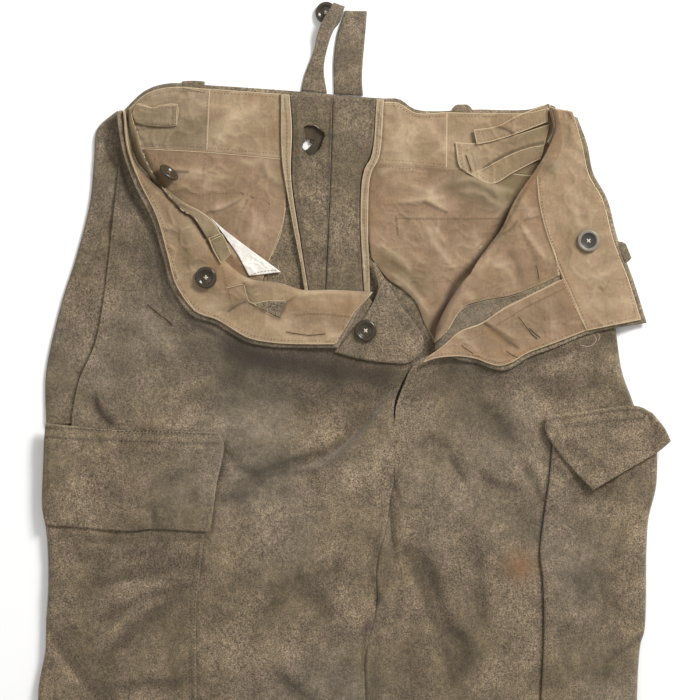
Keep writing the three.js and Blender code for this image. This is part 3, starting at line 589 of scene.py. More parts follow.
def lapel_height(across, down):
    """The left front, turned out: high at its fold, and bending down over the side of the leg."""
    away = np.abs(beside(RIDGE_LEFT, across, down)[0])
    lift = RIDGE_LIFT_LEFT + (RESTING_LIFT - RIDGE_LIFT_LEFT) * between(4, 40, away)
    side = np.interp(down, [row[1] for row in SIDE_LEFT], [row[0] for row in SIDE_LEFT])
    return front_height(across, down) + lift - SIDE_FALL * between(4, 34, across - side)


# %% [markdown]
# ## One way to cut every piece of cloth
#
# A sheet could be modelled from a plane by pulling points, but eighty creased edges would never meet. Here a
# piece is the patch between a top, a bottom, a left and a right edge, which is how a tailor's pattern is drawn
# too. `create_grid` makes its mesh, each point is moved to its place on the patch, and a Solidify modifier gives
# the wall. An edge that turns down has a profile: how far in and how far down each point lies, in millimetres.


# %% The patch between four edges
EDGE_ROOM = 6.2  # mm of a rolled edge that stay as they are where the patch is too short for the rest


def patch(top, bottom, left=(), right=(), step=3.0, rows=None, columns=None, turn=None, amount=None,
          row_shares=None):
    """Across, down and drop for each point of a sheet. Edges that turn are named in turn."""
    turn, amount = turn or {}, amount or {}
    edges = {"top": smooth_line(top), "bottom": smooth_line(bottom),
             "left": smooth_line([top[0], *left, bottom[0]]), "right": smooth_line([top[-1], *right, bottom[-1]])}
    corners = [edges["top"][0], edges["top"][-1], edges["bottom"][0], edges["bottom"][-1]]
    if row_shares is not None:
        rows = len(row_shares) - 1
    columns = columns or max(4, round(max(length_of(edges["top"]), length_of(edges["bottom"])) / step))
    rows = rows or max(4, round(max(length_of(edges["left"]), length_of(edges["right"])) / step))

    def on_sheet(u, v):
        u, v = np.broadcast_arrays(np.clip(u, 0, 1), np.clip(v, 0, 1))
        u1, v1 = u[..., None], v[..., None]
        point = along(edges["top"], u) * (1 - v1) + along(edges["bottom"], u) * v1
        point = point + along(edges["left"], v) * (1 - u1) + along(edges["right"], v) * u1
        for weight, corner in zip(((1 - u) * (1 - v), u * (1 - v), (1 - u) * v, u * v), corners):
            point = point - weight[..., None] * corner
        return point

    def stations(start, end, count, length, shares=None):
        """Where the points of one row or column lie, and how far each drops."""
        start = [(inset / length, drop) for inset, drop in start]
        end = [(1 - inset / length, drop) for inset, drop in end]
        low, high = (start[-1][0] if start else 0), (end[-1][0] if end else 1)
        even = np.linspace(0, 1, count + 1) if shares is None else np.asarray(shares)
        middle = [(low + (high - low) * share, 0.0) for share in even]
        return np.array([*start[:-1], *middle, *end[:-1][::-1]])

    def faded(side, down):
        """A side's turn, shortened to its amount at this place."""
        share = float(amount[side](down)) if side in amount else 1.0
        return [(inset * share + 0.35 * k * (1 - share), drop * share)
                for k, (inset, drop) in enumerate(turn.get(side, []))]

    def row_stations(v):
        ends = on_sheet(np.array([0.0, 1.0]), np.array([v, v]))
        return stations(faded("left", ends[0][1]), faded("right", ends[1][1]), columns,
                        to_mm(np.linalg.norm(ends[1] - ends[0])))

    sheet = []
    if "top" not in turn:
        for v in stations([], [], rows, 1, row_shares)[:, 0]:
            across = row_stations(v)
            sheet.append(np.column_stack([on_sheet(across[:, 0], v), across[:, 1]]))
        return np.array(sheet)
    for u in row_stations(0.0)[:, 0]:
        ends = on_sheet(np.array([u, u]), np.array([0.0, 1.0]))
        depth = to_mm(np.linalg.norm(ends[1] - ends[0]))
        room = np.clip((depth - EDGE_ROOM) / 12, 0.1, 1)
        profile = [(inset if inset <= EDGE_ROOM else EDGE_ROOM + (inset - EDGE_ROOM) * room, drop)
                   for inset, drop in turn["top"]]
        down = stations(profile, [], rows, depth)
        sheet.append(np.column_stack([on_sheet(u, down[:, 0]), down[:, 1]]))
    return np.array(sheet).transpose(1, 0, 2)


ROUND_STEPS = 8


def round_turn(lift, outer, radius, tuck=0.0):
    """Half a round, from the layer below up to the turned-out layer. The tuck runs on under the fold."""
    angles = np.linspace(0, math.pi, ROUND_STEPS + 1)
    turn = [(outer + radius * (1 - math.sin(a)), lift / 2 * (1 + math.cos(a))) for a in angles]
    return ([(outer + radius + tuck, lift)] if tuck else []) + turn


SIDE_TURN = [(1.1, 5.2), (0.8, 4.4), (0.8, 3.5), (1.0, 2.5), (1.5, 1.5), (2.3, 0.7), (3.4, 0.2), (5.0, 0.0)]


# %% Kinds of cloth: the wall in millimetres, the finish and the slot
FELT, PRESSED_FELT, LOOP_FELT, GUSSET_FELT = ((wall, WOOL, "wool") for wall in (2.0, 1.6, 2.4, 0.8))
INTERLINING = (0.6, DARK_CLOTH, "wool")
FACING, LINING_CLOTH, OLIVE_FACING = ((1.0, KHAKI_TWILL, "khaki_cotton"), (1.0, LINING_TWILL, "khaki_cotton"),
                                      (1.0, OLIVE_TWILL, "olive_cotton"))
KHAKI_STRAP, OLIVE_STRAP, STRAP_LOOP = ((1.4, KHAKI_TWILL, "khaki_cotton"), (1.4, OLIVE_TWILL, "olive_cotton"),
                                        (1.4, OLIVE_TWILL, "khaki_cotton"))
TAPE_CLOTH, LABEL_CLOTH = (1.8, BOUND_TAPE, "tape"), (1.0, LABEL_COTTON, "label")
print("kinds of cloth, mm:", sorted({kind[0] for kind in (FELT, PRESSED_FELT, LOOP_FELT, GUSSET_FELT, INTERLINING,
                                                          FACING, KHAKI_STRAP, TAPE_CLOTH)}))

# %% Painted marks
BODY = "root"
EDGE_SHARE = 0.5  # a cut edge is this thin, against the cloth's wall
# Hollows get painted shade and ridges painted highlight, partly dirt and wear; the numbers are what a millimetre adds.
HOLLOW_SOIL_AND_SHADE, RIDGE_WEAR_AND_LIGHT = 0.19, 0.16  # what a millimetre of hollow or ridge adds
made, cuts = {}, {}


def finish_piece(piece, finish, nodes=()):
    piece.data.materials.append(finish)
    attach(piece, BODY)
    if nodes:
        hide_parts(*nodes)
    made[piece.name] = piece


def paint(mesh, name, values):
    layer = mesh.attributes.new(name, "FLOAT", "POINT")
    layer.data.foreach_set("value", np.asarray(values, np.float32))


def painted(marks, across, down):
    """How strongly a set of marks shows: (points, half width in mm, strength), or a spot of one point."""
    total = np.zeros(np.shape(across))
    for points, width, strength in marks:
        reach = 3 * width / (SQUARE * 1000) + 2
        low, high = np.min(points, axis=0) - reach, np.max(points, axis=0) + reach
        near = (across > low[0]) & (across < high[0]) & (down > low[1]) & (down < high[1])
        if not near.any():
            continue
        if len(points) == 1:
            away = to_mm(np.hypot(across[near] - points[0][0], down[near] - points[0][1]))
        else:
            away = np.abs(beside(smooth_line(points, 6), across[near], down[near])[0])
        total[near] = np.maximum(total[near], strength * np.exp(-(away / width) ** 2))
    return total


def paint_cloth(mesh, at, on_edge, rise, rim, soil, fade, stain, rubbed_and_lit, lit):
    """Dirt and painted shade on the first sheet and in its hollows, wear and painted highlight on ridges and the last
    sheet's rim.
    """
    across, down, turned_out = at.T
    soiled_and_shaded = painted(soil, across, down) * (turned_out == 0)
    # Painted shade: the marks, and the hollows by their depth, darken the cloth, partly as dirt.
    paint(mesh, "soil", np.maximum(soiled_and_shaded, np.clip(-HOLLOW_SOIL_AND_SHADE * rise, 0, 0.55)))
    paint(mesh, "fade", painted(fade, across, down))
    paint(mesh, "stain", painted(stain, across, down))
    edges = np.maximum(rim * on_edge, painted(rubbed_and_lit, across, down)) * (turned_out == turned_out.max())
    # Painted highlight: ridges and lit places lighten, partly as wear.
    ridges = np.maximum(np.clip(RIDGE_WEAR_AND_LIGHT * rise, 0, 0.5), painted(lit, across, down))
    paint(mesh, "worn", np.maximum(edges, ridges * (1 - 0.85 * np.clip(soiled_and_shaded, 0, 1))))


# %% From patch to cloth
WAVE_WIDTH = 0.018
LEAST_FILL = 0.31  # a sheet is cut from at least this share of the oblong round it


def uneven(place, seed, high):
    """The small waves that no laid cloth is without."""
    return high * noise.noise(Vector((place[0] / WAVE_WIDTH, place[1] / WAVE_WIDTH, seed))) + 0.4 * high * noise.noise(
        Vector((place[0] / WAVE_WIDTH * 3.1, place[1] / WAVE_WIDTH * 3.1, seed + 7)))


def lay_sheet(form, layers, points, height, turned_out, wall, seed, wave):
    """Adds one patch to the form, lifted to its height, and gives its width and length in metres."""
    rows, columns = points.shape[:2]
    level = height(points[..., 0], points[..., 1]) - points[..., 2]
    places = to_metres(points[..., 0], points[..., 1], level)
    before = set(form.verts)
    bmesh.ops.create_grid(form, x_segments=columns - 1, y_segments=rows - 1, size=1.0)
    for vert in form.verts:
        if vert in before:
            continue
        column = round((vert.co.x + 1) / 2 * (columns - 1))
        row = round((1 - vert.co.y) / 2 * (rows - 1))
        on_edge = min(row, column, rows - 1 - row, columns - 1 - column) == 0
        for word, value in (("edge", EDGE_SHARE if on_edge else 1.0), ("across", points[row, column, 0]),
                            ("down", points[row, column, 1]), ("turned_out", turned_out)):
            vert[layers[word]] = value
        vert.co = places[row, column]
        vert.co.z = max(vert.co.z + uneven(vert.co, seed, wave), wall / 2000 + 0.0001)
    across_steps = np.linalg.norm(np.diff(places, axis=1), axis=2)
    down_steps = np.linalg.norm(np.diff(places, axis=0), axis=2)
    return across_steps.sum(axis=1).max(), down_steps.sum(axis=0).max()


def cut_hole(form, outline, layers):
    """Takes out the faces whose middle lies inside an outline."""
    ring = smooth_line([*outline, outline[0]], 6)

    def inside(across, down):
        count = 0
        for (x0, y0), (x1, y1) in zip(ring[:-1], ring[1:]):
            if (y0 > down) != (y1 > down) and across < x0 + (down - y0) / (y1 - y0) * (x1 - x0):
                count += 1
        return count % 2 == 1

    gone = [face for face in form.faces if inside(*(sum(vert[layers[word]] for vert in face.verts) / 4
                                                    for word in ("across", "down")))]
    bmesh.ops.delete(form, geom=gone, context="FACES")


def cloth(name, sheets, kind, nodes, seed=0.0, soil=(), fade=(), stain=(), wave=0.0001, held="laid", rests_on=(),
          hole=None, relief=None, rim=0.0, rubbed_and_lit=(), lit=()):
    """Makes one piece of cloth from one or more patches, each a pair of (patch points, height function)."""
    wall, finish, slot = kind
    form = bmesh.new()
    layers = {word: form.verts.layers.float.new(word) for word in ("edge", "across", "down", "turned_out")}
    sizes = [lay_sheet(form, layers, points, height, turned_out, wall, seed, wave)
             for turned_out, (points, height) in enumerate(sheets)]
    form.normal_update()
    if hole:
        cut_hole(form, hole, layers)
    area = sum(face.calc_area() for face in form.faces)
    for face in form.faces:
        face.smooth = True
    edge_shares = np.array([vert[layers["edge"]] for vert in form.verts])
    at = np.array([[vert[layers[word]] for word in ("across", "down", "turned_out")] for vert in form.verts])
    mesh = bpy.data.meshes.new(name)
    form.to_mesh(mesh)
    form.free()
    for word in layers:
        mesh.attributes.remove(mesh.attributes[word])
    rise = relief(at[:, 0], at[:, 1]) if relief else np.zeros(len(at))
    paint_cloth(mesh, at, edge_shares == EDGE_SHARE, rise, rim, soil, fade, stain, rubbed_and_lit, lit)
    piece = bpy.data.objects.new(name, mesh)
    bpy.context.scene.collection.objects.link(piece)
    group = piece.vertex_groups.new(name="wall")
    for index, share in enumerate(edge_shares):
        group.add([index], share, "REPLACE")
    solid = piece.modifiers.new("wall", "SOLIDIFY")
    solid.thickness, solid.offset = wall / 1000, 0
    solid.vertex_group = "wall"
    finish_piece(piece, finish, nodes)
    wide = max(width for width, _ in sizes)
    long = (sum if held == "folded" else max)(length for _, length in sizes)
    area = min(max(area, LEAST_FILL * wide * long), wide * long)
    cuts[name] = {"flat": (wide, long), "held": held, "area": area, "rests_on": rests_on}
    print(f"{name}: {len(mesh.vertices)} points, cut {wide:.3f} x {long:.3f} m, {area:.4f} m2")


# %% [markdown]
# ## The backs
#
# The two wool backs lie flat on the table, from the waist to the hems, and carry everything else. Only their top
# edge, the hole beside the centre seam and their hems are seen, so their grid is coarser below the fork.


# %% Backs
def leg_shares(fine, coarse):
    return [*(0.52 * k / fine for k in range(fine)), *(0.52 + 0.48 * k / coarse for k in range(coarse + 1))]


def below_fork(down):
    return between(CROTCH - 10, CROTCH + 26, down)


def inner_leg(down):
    """Pressed together from the fork to the knee, and turned right down to the table below it."""
    return below_fork(down) * (0.45 + 0.55 * between(700, 820, down))


def flat_level(level):
    return lambda across, down: np.full(np.shape(across), float(level))


TORN_HOLE = [[302, 143], [307, 140], [311, 142.5], [310.5, 147], [305, 149], [302, 147]]
BACK_EDGE = [(4.4, 0.0), (7.0, 0.0)]
cloth("back_right_cloth", [(patch(
    top=[[127, 106], [145, 90], [167, 83], [212, 85], [286, 90], [332.8, 94]],
    left=[[104, 131], [98, 157], *SIDE_RIGHT[3:-1]],
    right=[*CENTRE_BACK[1:], *INNER_LEG_RIGHT[:-1]],
    bottom=[SIDE_RIGHT[-1], INNER_LEG_RIGHT[-1]],
    columns=88, row_shares=leg_shares(170, 40), turn={"left": BACK_EDGE, "right": BACK_EDGE},
    amount={"right": lambda down: 0.08 + 0.92 * below_fork(down)}), flat_level(BACK_LEVEL))],
    FELT, ["back_right"], seed=1.0, wave=0.0, hole=TORN_HOLE, rests_on=["floor"])
cloth("back_left_cloth", [(patch(
    top=[[333.2, 94], [383, 98], [399, 98.5], [416, 109], [480, 109], [529, 109], [549, 104], [560, 109]],
    left=[*CENTRE_BACK[1:], *INNER_LEG_LEFT[:-1]],
    right=[[576, 160], *SIDE_LEFT[2:-1]],
    bottom=[INNER_LEG_LEFT[-1], SIDE_LEFT[-1]],
    columns=40, row_shares=leg_shares(80, 40), turn={"left": BACK_EDGE, "right": BACK_EDGE},
    amount={"left": lambda down: 0.08 + 0.92 * below_fork(down)}), flat_level(BACK_LEVEL))],
    FELT, ["back_left"], seed=2.0, wave=0.0, rests_on=["floor"])

# %% [markdown]
# ## The fronts, turned out at the waist
#
# Each front is one piece of wool. It lies over its back down to the hem, and its sides turn down to the table.
# At the top it rolls over on itself, so a second patch with a half-round edge makes the turned-out part.

# %% The right front
# Marks on the right front: mostly painted shade and shadow, under the rolled waist and along its edge, under the pocket
# flap, in creases, in slits and between the legs; the rest are dark stitched lines.
RIGHT_SOIL_AND_SHADE = [
    ([[96, 394], [96, 404], [101, 415], [116, 428]], 1.4, 0.55),
    ([[72, 409], [70, 423]], 1.0, 0.35),
    ([[393, 395], [380, 406], [361, 432], [345, 450], [320, 469], [297, 473]], 3.0, 0.6),
    ([[392, 400], [372, 424], [350, 447], [326, 462]], 8.0, 0.42),
    ([[285, 463], [262, 472], [240, 481]], 3.0, 0.4),
    ([[204, 350], [226, 366], [262, 378], [300, 388], [345, 392], [384, 388]], 18.0, 0.62),
    ([[232, 352], [262, 360], [300, 366], [345, 372], [384, 376]], 19.0, 1.0),
    ([[206, 346], [232, 366], [262, 384], [296, 396]], 11.0, 0.5),
    ([[116, 140], [121, 164], [127, 190], [141, 214], [153, 238], [160, 268], [168, 296], [192, 322], [216, 334],
      [248, 350], [290, 356], [338, 357]], 3.6, 0.85),
    ([[112, 150], [118, 176], [126, 204], [142, 236], [152, 270], [160, 300], [186, 330]], 9.0, 0.42),
    ([[105, 412], [120, 428], [160, 434], [216, 436]], 3.0, 0.30),
    ([[46, 527], [70, 530], [132, 534], [152, 532], [209, 536], [214, 505], [221, 470], [226, 443]], 2.2, 0.55),
    ([[214, 503], [252, 494]], 2.0, 0.2),
    ([[50, 625], [57, 645], [77, 673], [93, 694], [104, 712]], 1.6, 0.8),
    ([[147, 305], [153, 309], [158, 316], [165, 319], [172, 325]], 1.2, 0.9),
    ([[376.4, 577], [379.6, 592], [379, 604]], 1.6, 0.9), ([[380, 606], [372, 622], [368, 650]], 3.0, 0.4),
    ([[276, 671], [292, 689], [313, 702]], 1.4, 0.3),
]
cloth("front_right_cloth", [
    (patch(top=moved(RIDGE_RIGHT, -4.2, 5.6), left=[*SLANT_MOUTH, *SIDE_RIGHT[10:-1]],
           right=[*FRONT_RIGHT_EDGE, *moved(INNER_LEG_RIGHT[:-1], -BESIDE_LEG)],
           bottom=[SIDE_RIGHT[-1], INNER_LEG_RIGHT[-1]], columns=116, row_shares=leg_shares(180, 64),
           turn={"left": SIDE_TURN, "right": SIDE_TURN},
           amount={"left": lambda down: between(428, 446, down), "right": inner_leg}), front_height),
    (patch(top=RIDGE_RIGHT, bottom=WAIST_RIGHT, right=FLY_END_RIGHT, columns=120, rows=24,
           turn={"top": round_turn(RIDGE_LIFT_RIGHT, 3.0, 3.1, tuck=5)}), turned_right_height),
], FELT, ["front_right"], seed=3.0, soil=RIGHT_SOIL_AND_SHADE, held="folded", relief=relief_of_wool, rim=1.0,
    rubbed_and_lit=[(WAIST_RIGHT, 4.0, 1.0)],
    lit=[([[222, 428], [262, 414], [300, 424], [330, 440]], 16.0, 0.5),
         ([[392, 430], [372, 452], [350, 470], [322, 486]], 9.0, 0.4),
         ([[230, 520], [290, 508], [350, 512]], 22.0, 0.3),
         ([[384, 560], [374, 600], [362, 650], [356, 700]], 7.0, 0.3)], rests_on=["back_right_cloth"])

# %% The left front
# Marks on the left front: mostly painted shade and shadow, under the fly placket, under the flap and beside the pocket,
# in creases, in slits and between the legs.
LEFT_SOIL_AND_SHADE = [
    ([[431, 376], [452, 368], [486, 370], [512, 371], [530, 362], [560, 352], [590, 342], [616, 336]], 5.0, 0.62),
    ([[431, 382], [470, 386], [506, 384]], 12.0, 0.6), ([[530, 380], [560, 386], [596, 378]], 13.0, 0.6),
    ([[398, 500], [392, 540], [384, 580], [384, 610], [376, 650], [372, 700]], 7.0, 0.5),
    ([[395, 484], [398, 492], [400, 502]], 2.6, 0.8), ([[391, 496], [391, 530], [396, 560]], 1.6, 0.55),
    ([[388, 622], [400, 650], [418, 690]], 24.0, 0.34),
    ([[408, 546], [420, 578], [432, 608], [446, 640], [454, 684]], 5.5, 0.62),
    ([[470, 400], [496, 420], [520, 452]], 9.0, 0.25),
    ([[548, 432], [566, 462], [592, 492], [622, 476], [658, 456]], 3.0, 0.55),
    ([[553, 446], [552, 462], [547, 490], [543, 523], [541, 549], [540, 561], [543, 571], [543, 637], [542, 700]],
     2.6, 0.55),
    ([[411, 540], [421, 566], [434, 601], [448, 634], [460, 646]], 2.2, 0.35),
    ([[477, 556], [480, 585], [484, 627]], 2.6, 0.42),
    ([[488, 574], [495, 577], [503, 583]], 1.0, 0.35),
    ([[448, 457], [456, 469], [466, 484]], 1.6, 0.5),
    ([[476, 469], [493, 483], [516, 489]], 2.0, 0.42),
]
cloth("front_left_cloth", [
    (patch(top=[*FLY_FOLD_LEFT, *moved(RIDGE_LEFT[::-1], 6.3, 3.1), [565, 117]],
           left=[[392.6, 440], *moved(INNER_LEG_LEFT[:-1], BESIDE_LEG)], right=SIDE_LEFT[1:-1],
           bottom=[INNER_LEG_LEFT[-1], SIDE_LEFT[-1]], columns=106, row_shares=leg_shares(188, 64),
           turn={"left": SIDE_TURN, "right": SIDE_TURN}, amount={"left": inner_leg}), front_height),
    (patch(top=[RIDGE_LEFT[0], WAIST_LEFT[0]], left=RIDGE_LEFT[1:-1], right=WAIST_LEFT[1:-1],
           bottom=[RIDGE_LEFT[-1], *FLY_EDGE_LEFT, WAIST_LEFT[-1]], columns=60, rows=100,
           turn={"left": round_turn(RIDGE_LIFT_LEFT, 3.0, 3.1, tuck=5)}), lapel_height),
], FELT, ["front_left"], seed=4.0, soil=LEFT_SOIL_AND_SHADE, fade=[([[521, 566]], 13, 0.75)], held="folded",
    relief=relief_of_wool, rim=1.0, rubbed_and_lit=[([[438, 360], *FLY_EDGE_LEFT], 4.0, 1.0), (WAIST_LEFT, 4.0, 0.6)],
    lit=[([[402, 562], [414, 594], [430, 636], [440, 668]], 4.0, 0.7),
         ([[420, 470], [470, 500], [510, 530]], 16.0, 0.35),
         ([[520, 400], [536, 430], [540, 460]], 10.0, 0.35), ([[500, 600], [510, 660]], 18.0, 0.3)],
         rests_on=["back_left_cloth"])

# %% The pocket bearer beside the slant mouth
cloth("side_panel_cloth", [(patch(
    top=[[117, 110], [128, 122]], left=SIDE_RIGHT[1:8], right=[[127, 200], [108, 340], [92, 384]],
    bottom=[[46, 426], [82, 424]], step=2.5,
    turn={"left": [(inset, drop * 0.55) for inset, drop in SIDE_TURN]}), flat_level(FRONT_LEVEL - LAYER))],
    FELT, ["side_panel_right"], seed=5.0, rests_on=["back_right_cloth"],
    # Painted shade in the pits and folds of the crumpled wool at the top of the side.
    soil=[([[103, 135], [106, 144], [108, 153], [113, 162], [126, 170]], 2.0, 0.7),
          ([[119, 150], [123, 162], [128, 174]], 4.5, 0.9),
          ([[102, 180], [98, 240], [84, 300]], 8.0, 0.25)])

# %% [markdown]
# ## The inside of the back
#
# Khaki cotton faces the waist and lines the seat. The centre-back seam is left wide so that the waist can be let
# out, and tape binds its raw edges. These pieces are thin and pressed flat, so each is a patch of its own.


# %% Facings and linings
def inside_level(level, extra=None):
    """A height above the table that keeps to the small waves which all the layers inside share."""
    def height(across, down):
        return level + cotton_waves(across, down) + (extra(across, down) if extra else 0)

    return height


INSIDE_FOLDS = [
    ([[262, 98], [254, 108], [240, 116], [228, 121], [222, 137]], 4, 6, 1.0),
    ([[196, 103], [212, 106.5], [232, 107.5]], 3, 4, 0.7), ([[152, 93], [150, 101]], 3, 4, 0.6),
    ([[168, 168], [190, 172], [214, 176], [236, 178]], 5, 4, 1.0), ([[215, 136], [223, 142], [224, 146]], 3, 3, 0.8),
    ([[173, 178], [190, 177], [200, 180]], 4, 4, 0.7), ([[200, 193], [207, 183], [212, 177]], 3, 4, 0.9),
    ([[208, 212], [222, 208], [243, 198]], 4, 3, 1.3), ([[246, 198], [240, 214], [234, 236]], 3, 4, 1.2),
    ([[232, 158], [252, 164], [262, 162], [272, 178], [284, 186]], 5, 5, 1.1),
    ([[250, 204], [254, 222], [246, 246]], 4, 5, 0.9),
    ([[225, 240], [236, 262]], 5, 4, 0.8), ([[262, 222], [256, 250]], 4, 4, 0.8),
    ([[384, 150], [400, 146], [412, 130], [418, 118]], 4, 5, 0.9), ([[424, 116], [432, 132], [450, 150]], 4, 5, 0.7),
    ([[430, 158], [440, 150], [449, 148]], 3, 3, 0.8), ([[403, 120], [398, 134], [386, 144]], 4, 4, 0.6),
    ([[376, 178], [392, 168], [420, 168]], 5, 5, 1.1), ([[392, 202], [412, 201], [426, 200], [448, 212]], 4, 3, 1.3),
    ([[425, 200], [440, 198], [446, 196]], 3, 3, 0.9), ([[424, 219], [431, 238], [444, 257], [462, 274]], 5, 5, 1.3),
    ([[434, 226], [446, 244]], 3, 4, 0.9), ([[396, 180], [420, 190], [440, 198]], 5, 5, 0.8),
    ([[448, 184], [468, 180], [492, 190], [506, 204]], 5, 4, 1.6),
    ([[456, 192], [478, 193], [500, 206], [512, 208]], 4, 5, 1.4),
    ([[470, 172], [488, 186], [520, 194]], 5, 6, 1.2), ([[455, 176], [440, 184], [424, 196]], 4, 4, 0.8),
    ([[376, 240], [388, 252], [404, 262], [412, 280]], 5, 6, 1.0), ([[470, 226], [476, 246], [470, 262]], 5, 4, 0.7),
    ([[490, 222], [500, 214], [512, 200]], 4, 4, 0.9), ([[400, 228], [410, 250], [430, 270]], 5, 5, 0.6),
    ([[384, 270], [400, 280], [420, 300], [432, 322]], 4, 4, 1.2),
]
INSIDE_FOLDS = drawn(INSIDE_FOLDS)
INSIDE_GAIN = 1.35


def inside_relief(across, down):
    rise = np.zeros(np.shape(across))
    for fold in INSIDE_FOLDS:
        rise = rise + INSIDE_GAIN * ridge_or_trough(*fold, across, down)
    return rise


def shaded_relief(across, down):
    """Ridges get painted highlight, partly wear, and the hollows between them get painted shade, partly dirt."""
    return 1.5 * (cotton_waves(across, down) - 0.42) + 2.0 * (inside_relief(across, down) - 0.38)


# Dark stitched lines, and painted shade: in the valley beside the lapel's fold, beside and between the straps, and in
# the lining's creases.
INSIDE_SOIL_AND_SHADE = [
    ([[539, 162], [529, 181], [513.6, 204], [498, 236], [479, 258.5], [454.7, 285.5], [445, 306], [433, 325],
      [428, 346]], 4.2, 1.0),
    ([[460, 182], [486, 192], [512, 200]], 17.0, 0.62), ([[474, 186], [500, 194], [522, 188], [536, 172]], 12.0, 0.5),
    ([[460, 190], [480, 200], [512, 206]], 5.0, 0.35),
    ([[384, 262], [400, 274], [416, 292]], 7.0, 0.35), ([[376, 190], [420, 230], [440, 320]], 50.0, 0.12),
    ([[210.4, 90], [208, 115], [206, 149], [203.6, 176]], 0.8, 0.45),
    ([[142, 148.4], [207, 152], [284, 159]], 1.3, 0.5),
    ([[372, 165], [416, 167], [447, 171], [500, 173], [548, 180]], 1.5, 0.45),
    ([[289, 160], [292, 190], [300, 240], [302, 262]], 1.5, 0.5),
    ([[280, 94], [281, 159], [288, 208], [299, 262]], 1.6, 0.5),
    ([[384.6, 99], [380, 157], [372, 174], [369, 218], [371, 262]], 1.6, 0.5),
    ([[143, 150], [160, 183], [176, 200], [190, 212], [206, 222]], 3.0, 0.6),
    ([[130, 128], [140, 160], [160, 190]], 3.0, 0.4),
    ([[171, 170.8], [188, 171.8]], 1.2, 0.9), ([[208, 172], [216, 174]], 1.2, 0.6),
    ([[474, 147], [494, 143.5], [514, 137], [547, 125]], 2.6, 0.6),
    ([[462, 168], [490, 186], [516, 174], [542, 160]], 2.6, 0.65),
    ([[456, 180], [476, 181], [500, 192]], 3.0, 0.45), ([[462, 192], [486, 194], [512, 207]], 2.2, 0.6),
    ([[424, 202], [447, 212]], 1.6, 0.6), ([[207, 212.5], [222, 209], [240, 200]], 1.3, 0.6),
    ([[247, 200], [240, 216], [236, 234]], 1.4, 0.5), ([[262, 162], [264, 172], [282, 189]], 4.0, 0.35),
    ([[478, 153], [500, 157], [510, 155]], 1.5, 0.6), ([[134, 130], [150, 128], [178, 127.6]], 1.6, 0.55),
    ([[286, 208], [280, 236], [268, 260]], 1.2, 0.5), ([[392, 262], [408, 274], [424, 296]], 3.0, 0.6),
    ([[183, 88], [204, 92]], 0.9, 0.8), ([[396, 216], [398, 235]], 0.9, 0.7), ([[398, 218.4], [502, 218.4]], 0.9, 0.5),
]
# Olive tint, partly the cloth's own and partly painted shade beside the straps and under the fly.
INSIDE_OLIVE_AND_SHADE = [
    ([[480, 178], [500, 190], [520, 186], [536, 172]], 15, 0.95), ([[452, 186], [470, 194]], 8, 0.6),
    ([[384, 258], [404, 270], [420, 286]], 9, 0.7), ([[480, 150], [520, 140], [546, 128]], 8, 0.6),
    ([[146, 112], [160, 118], [180, 96]], 10, 0.35), ([[150, 136], [190, 140]], 9, 0.3),
    ([[408, 290], [426, 322]], 6, 0.6), ([[214, 178], [244, 168]], 6, 0.25), ([[270, 170], [280, 186]], 6, 0.4),
]
INSIDE_ORANGE = [([[124, 118], [129, 116]], 5, 0.8), ([[224, 260], [240, 270]], 10, 0.2)]


def inside_cloth(name, node, kind, outline, seed, step=1.35, under=0.0):
    level = inside_level(INNER_LEVEL - under, inside_relief)
    cloth(name, [(patch(step=step, **outline), level)], kind, [node], seed=seed, soil=INSIDE_SOIL_AND_SHADE, fade=INSIDE_OLIVE_AND_SHADE,
          stain=INSIDE_ORANGE, relief=shaded_relief, rim=0.9, rests_on=["back_right_cloth", "back_left_cloth"])


inside_cloth("waist_facing_right_side", "back_facing_right_side", OLIVE_FACING, dict(
    top=[[128, 109], [145, 94], [167, 87], [210, 88.5]], bottom=[[140, 146], [207, 150]]), 11.0)
inside_cloth("waist_facing_right", "back_facing_right", FACING, dict(
    top=[[209.4, 88.5], [286, 94]], bottom=[[206.4, 150.3], [284, 157]]), 12.0, under=0.15)
inside_cloth("waist_facing_left", "back_facing_left", FACING, dict(
    top=[[376, 101.5], [398, 102.5], [416, 112.5], [447.5, 112]], bottom=[[371, 162], [447, 167.5]]), 13.0)
inside_cloth("waist_facing_left_side", "back_facing_left_side", FACING, dict(
    top=[[446.8, 112], [529, 112.5], [549, 108], [560, 114]], right=[[562, 140]],
    bottom=[[446.4, 168], [500, 171], [549, 177]]), 14.0, under=0.15)
inside_cloth("seat_lining_right", "back_lining_right", LINING_CLOTH, dict(
    top=[[140, 145.6], [207, 149.4], [284, 156.4]], left=[[156, 188], [187, 235], [220, 275]],
    right=[[285, 212], [279, 235], [269, 260]], bottom=[[240, 302], [256, 300]]), 15.0, step=1.5, under=0.28)
inside_cloth("seat_lining_left", "back_lining_left", LINING_CLOTH, dict(
    top=[[370, 161.4], [448, 167.4], [548, 176.4]], left=[[365, 200]], right=[[522, 226], [480, 285]],
    bottom=[[371, 257], [388, 279], [403, 289], [416, 302], [425, 324], [436, 344]]), 16.0, step=1.5, under=0.28)

# %% Centre-back allowances and their tapes
TORN_ALLOWANCE = [[302, 147], [305.5, 137], [304.6, 127], [313.5, 125.5], [320, 129.5], [324.5, 134], [322.4, 141],
                  [320, 148], [315, 153.5], [308, 155]]
